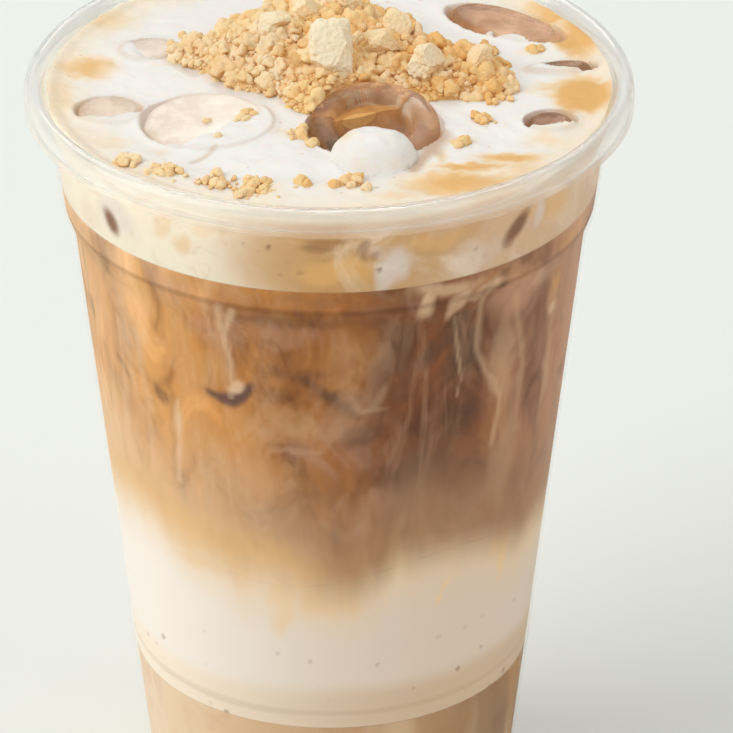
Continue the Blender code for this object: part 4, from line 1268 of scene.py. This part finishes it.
def scatter_tree(name, material):
    """Crumbs of random size, turn and shape over a carrying surface, as one plain mesh."""
    tree = bpy.data.node_groups.new(name, "GeometryNodeTree")
    face = tree.interface
    face.new_socket("Geometry", in_out="INPUT", socket_type="NodeSocketGeometry")
    for label, kind in (("Density", "NodeSocketFloat"), ("Smallest", "NodeSocketFloat"),
                        ("Largest", "NodeSocketFloat"), ("Seed", "NodeSocketInt"),
                        ("Shapes", "NodeSocketCollection")):
        face.new_socket(label, in_out="INPUT", socket_type=kind)
    face.new_socket("Geometry", in_out="OUTPUT", socket_type="NodeSocketGeometry")

    def node(kind, sockets, settings=()):
        made = tree.nodes.new(kind)
        for key, value in dict(settings).items():
            setattr(made, key, value)
        for key, value in sockets.items():
            if isinstance(value, bpy.types.NodeSocket):
                tree.links.new(value, made.inputs[key])
            else:
                made.inputs[key].default_value = value
        return made

    given = node("NodeGroupInput", {}).outputs
    bare = node("GeometryNodeInputNamedAttribute", {"Name": "bare"}, {"data_type": "FLOAT"})
    crumbed = node("FunctionNodeCompare", {"A": bare.outputs[0], "B": 0.5},
                   {"data_type": "FLOAT", "operation": "LESS_THAN"})
    points = node("GeometryNodeDistributePointsOnFaces", {
        "Mesh": given["Geometry"], "Density": given["Density"], "Seed": given["Seed"],
        "Selection": crumbed.outputs[0]})
    picked = node("GeometryNodeCollectionInfo", {
        "Collection": given["Shapes"], "Separate Children": True, "Reset Children": True})
    size = node("FunctionNodeRandomValue", {
        "Min": 0.0, "Max": 1.0, "Seed": given["Seed"]}, {"data_type": "FLOAT"})
    skew = node("ShaderNodeMath", {0: size.outputs[1], 1: 1.7}, {"operation": "POWER"})
    span = node("ShaderNodeMath", {0: given["Largest"], 1: given["Smallest"]},
                {"operation": "SUBTRACT"})
    scaled = node("ShaderNodeMath", {0: skew.outputs[0], 1: span.outputs[0], 2: given["Smallest"]},
                  {"operation": "MULTIPLY_ADD"})
    turn = node("FunctionNodeRandomValue", {
        "Min": (0.0, 0.0, 0.0), "Max": (math.tau, math.tau, math.tau), "Seed": given["Seed"]},
        {"data_type": "FLOAT_VECTOR"})
    placed = node("GeometryNodeInstanceOnPoints", {
        "Points": points.outputs["Points"], "Instance": picked.outputs[0], "Pick Instance": True,
        "Rotation": turn.outputs[0], "Scale": scaled.outputs[0]})
    toast = node("FunctionNodeRandomValue", {"Min": 0.0, "Max": 1.0, "Seed": 77},
                 {"data_type": "FLOAT"})
    rare = node("ShaderNodeMath", {0: toast.outputs[1], 1: 2.2}, {"operation": "POWER"})
    marked = node("GeometryNodeStoreNamedAttribute", {
        "Geometry": placed.outputs[0], "Name": "toast", "Value": rare.outputs[0]},
        {"data_type": "FLOAT", "domain": "INSTANCE"})
    real = node("GeometryNodeRealizeInstances", {"Geometry": marked.outputs[0]})
    done = node("GeometryNodeSetMaterial", {"Geometry": real.outputs[0], "Material": material})
    tree.links.new(done.outputs[0], node("NodeGroupOutput", {}).inputs[0])
    return tree


def scattered(name, carrier, shapes, density, smallest, largest, seed):
    """A plain mesh of crumbs spread over the carrier's faces."""
    holder = bpy.data.objects.new(name, carrier.data.copy())
    scene.collection.objects.link(holder)
    modifier = holder.modifiers.new("crumbs", "NODES")
    modifier.node_group = crumb_scatter
    values = {"Density": density, "Smallest": smallest, "Largest": largest, "Seed": seed,
              "Shapes": shapes}
    for item in crumb_scatter.interface.items_tree:
        if item.in_out == "INPUT" and item.name in values:
            modifier[item.identifier] = values[item.name]
    graph = bpy.context.evaluated_depsgraph_get()
    mesh = bpy.data.meshes.new_from_object(holder.evaluated_get(graph))
    holder.modifiers.remove(modifier)
    holder.data = mesh
    mesh.shade_smooth()
    return holder


crumb_scatter = scatter_tree("crumb_scatter", crumb_finish)
heaped = [core, chunks]
for name, detail, rough, density, smallest, largest, seed in GRAINS:
    shapes = shape_set(f"{name}_shape", detail, rough)
    span = (smallest * MM, largest * MM)
    heaped.append(scattered(name, core, shapes, density, *span, HEAP_SEED + seed))
for piece in heaped:
    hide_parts("crumble_heap")
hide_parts("foam_layer")
for piece in (*heaped, loose):
    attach(piece, "root")
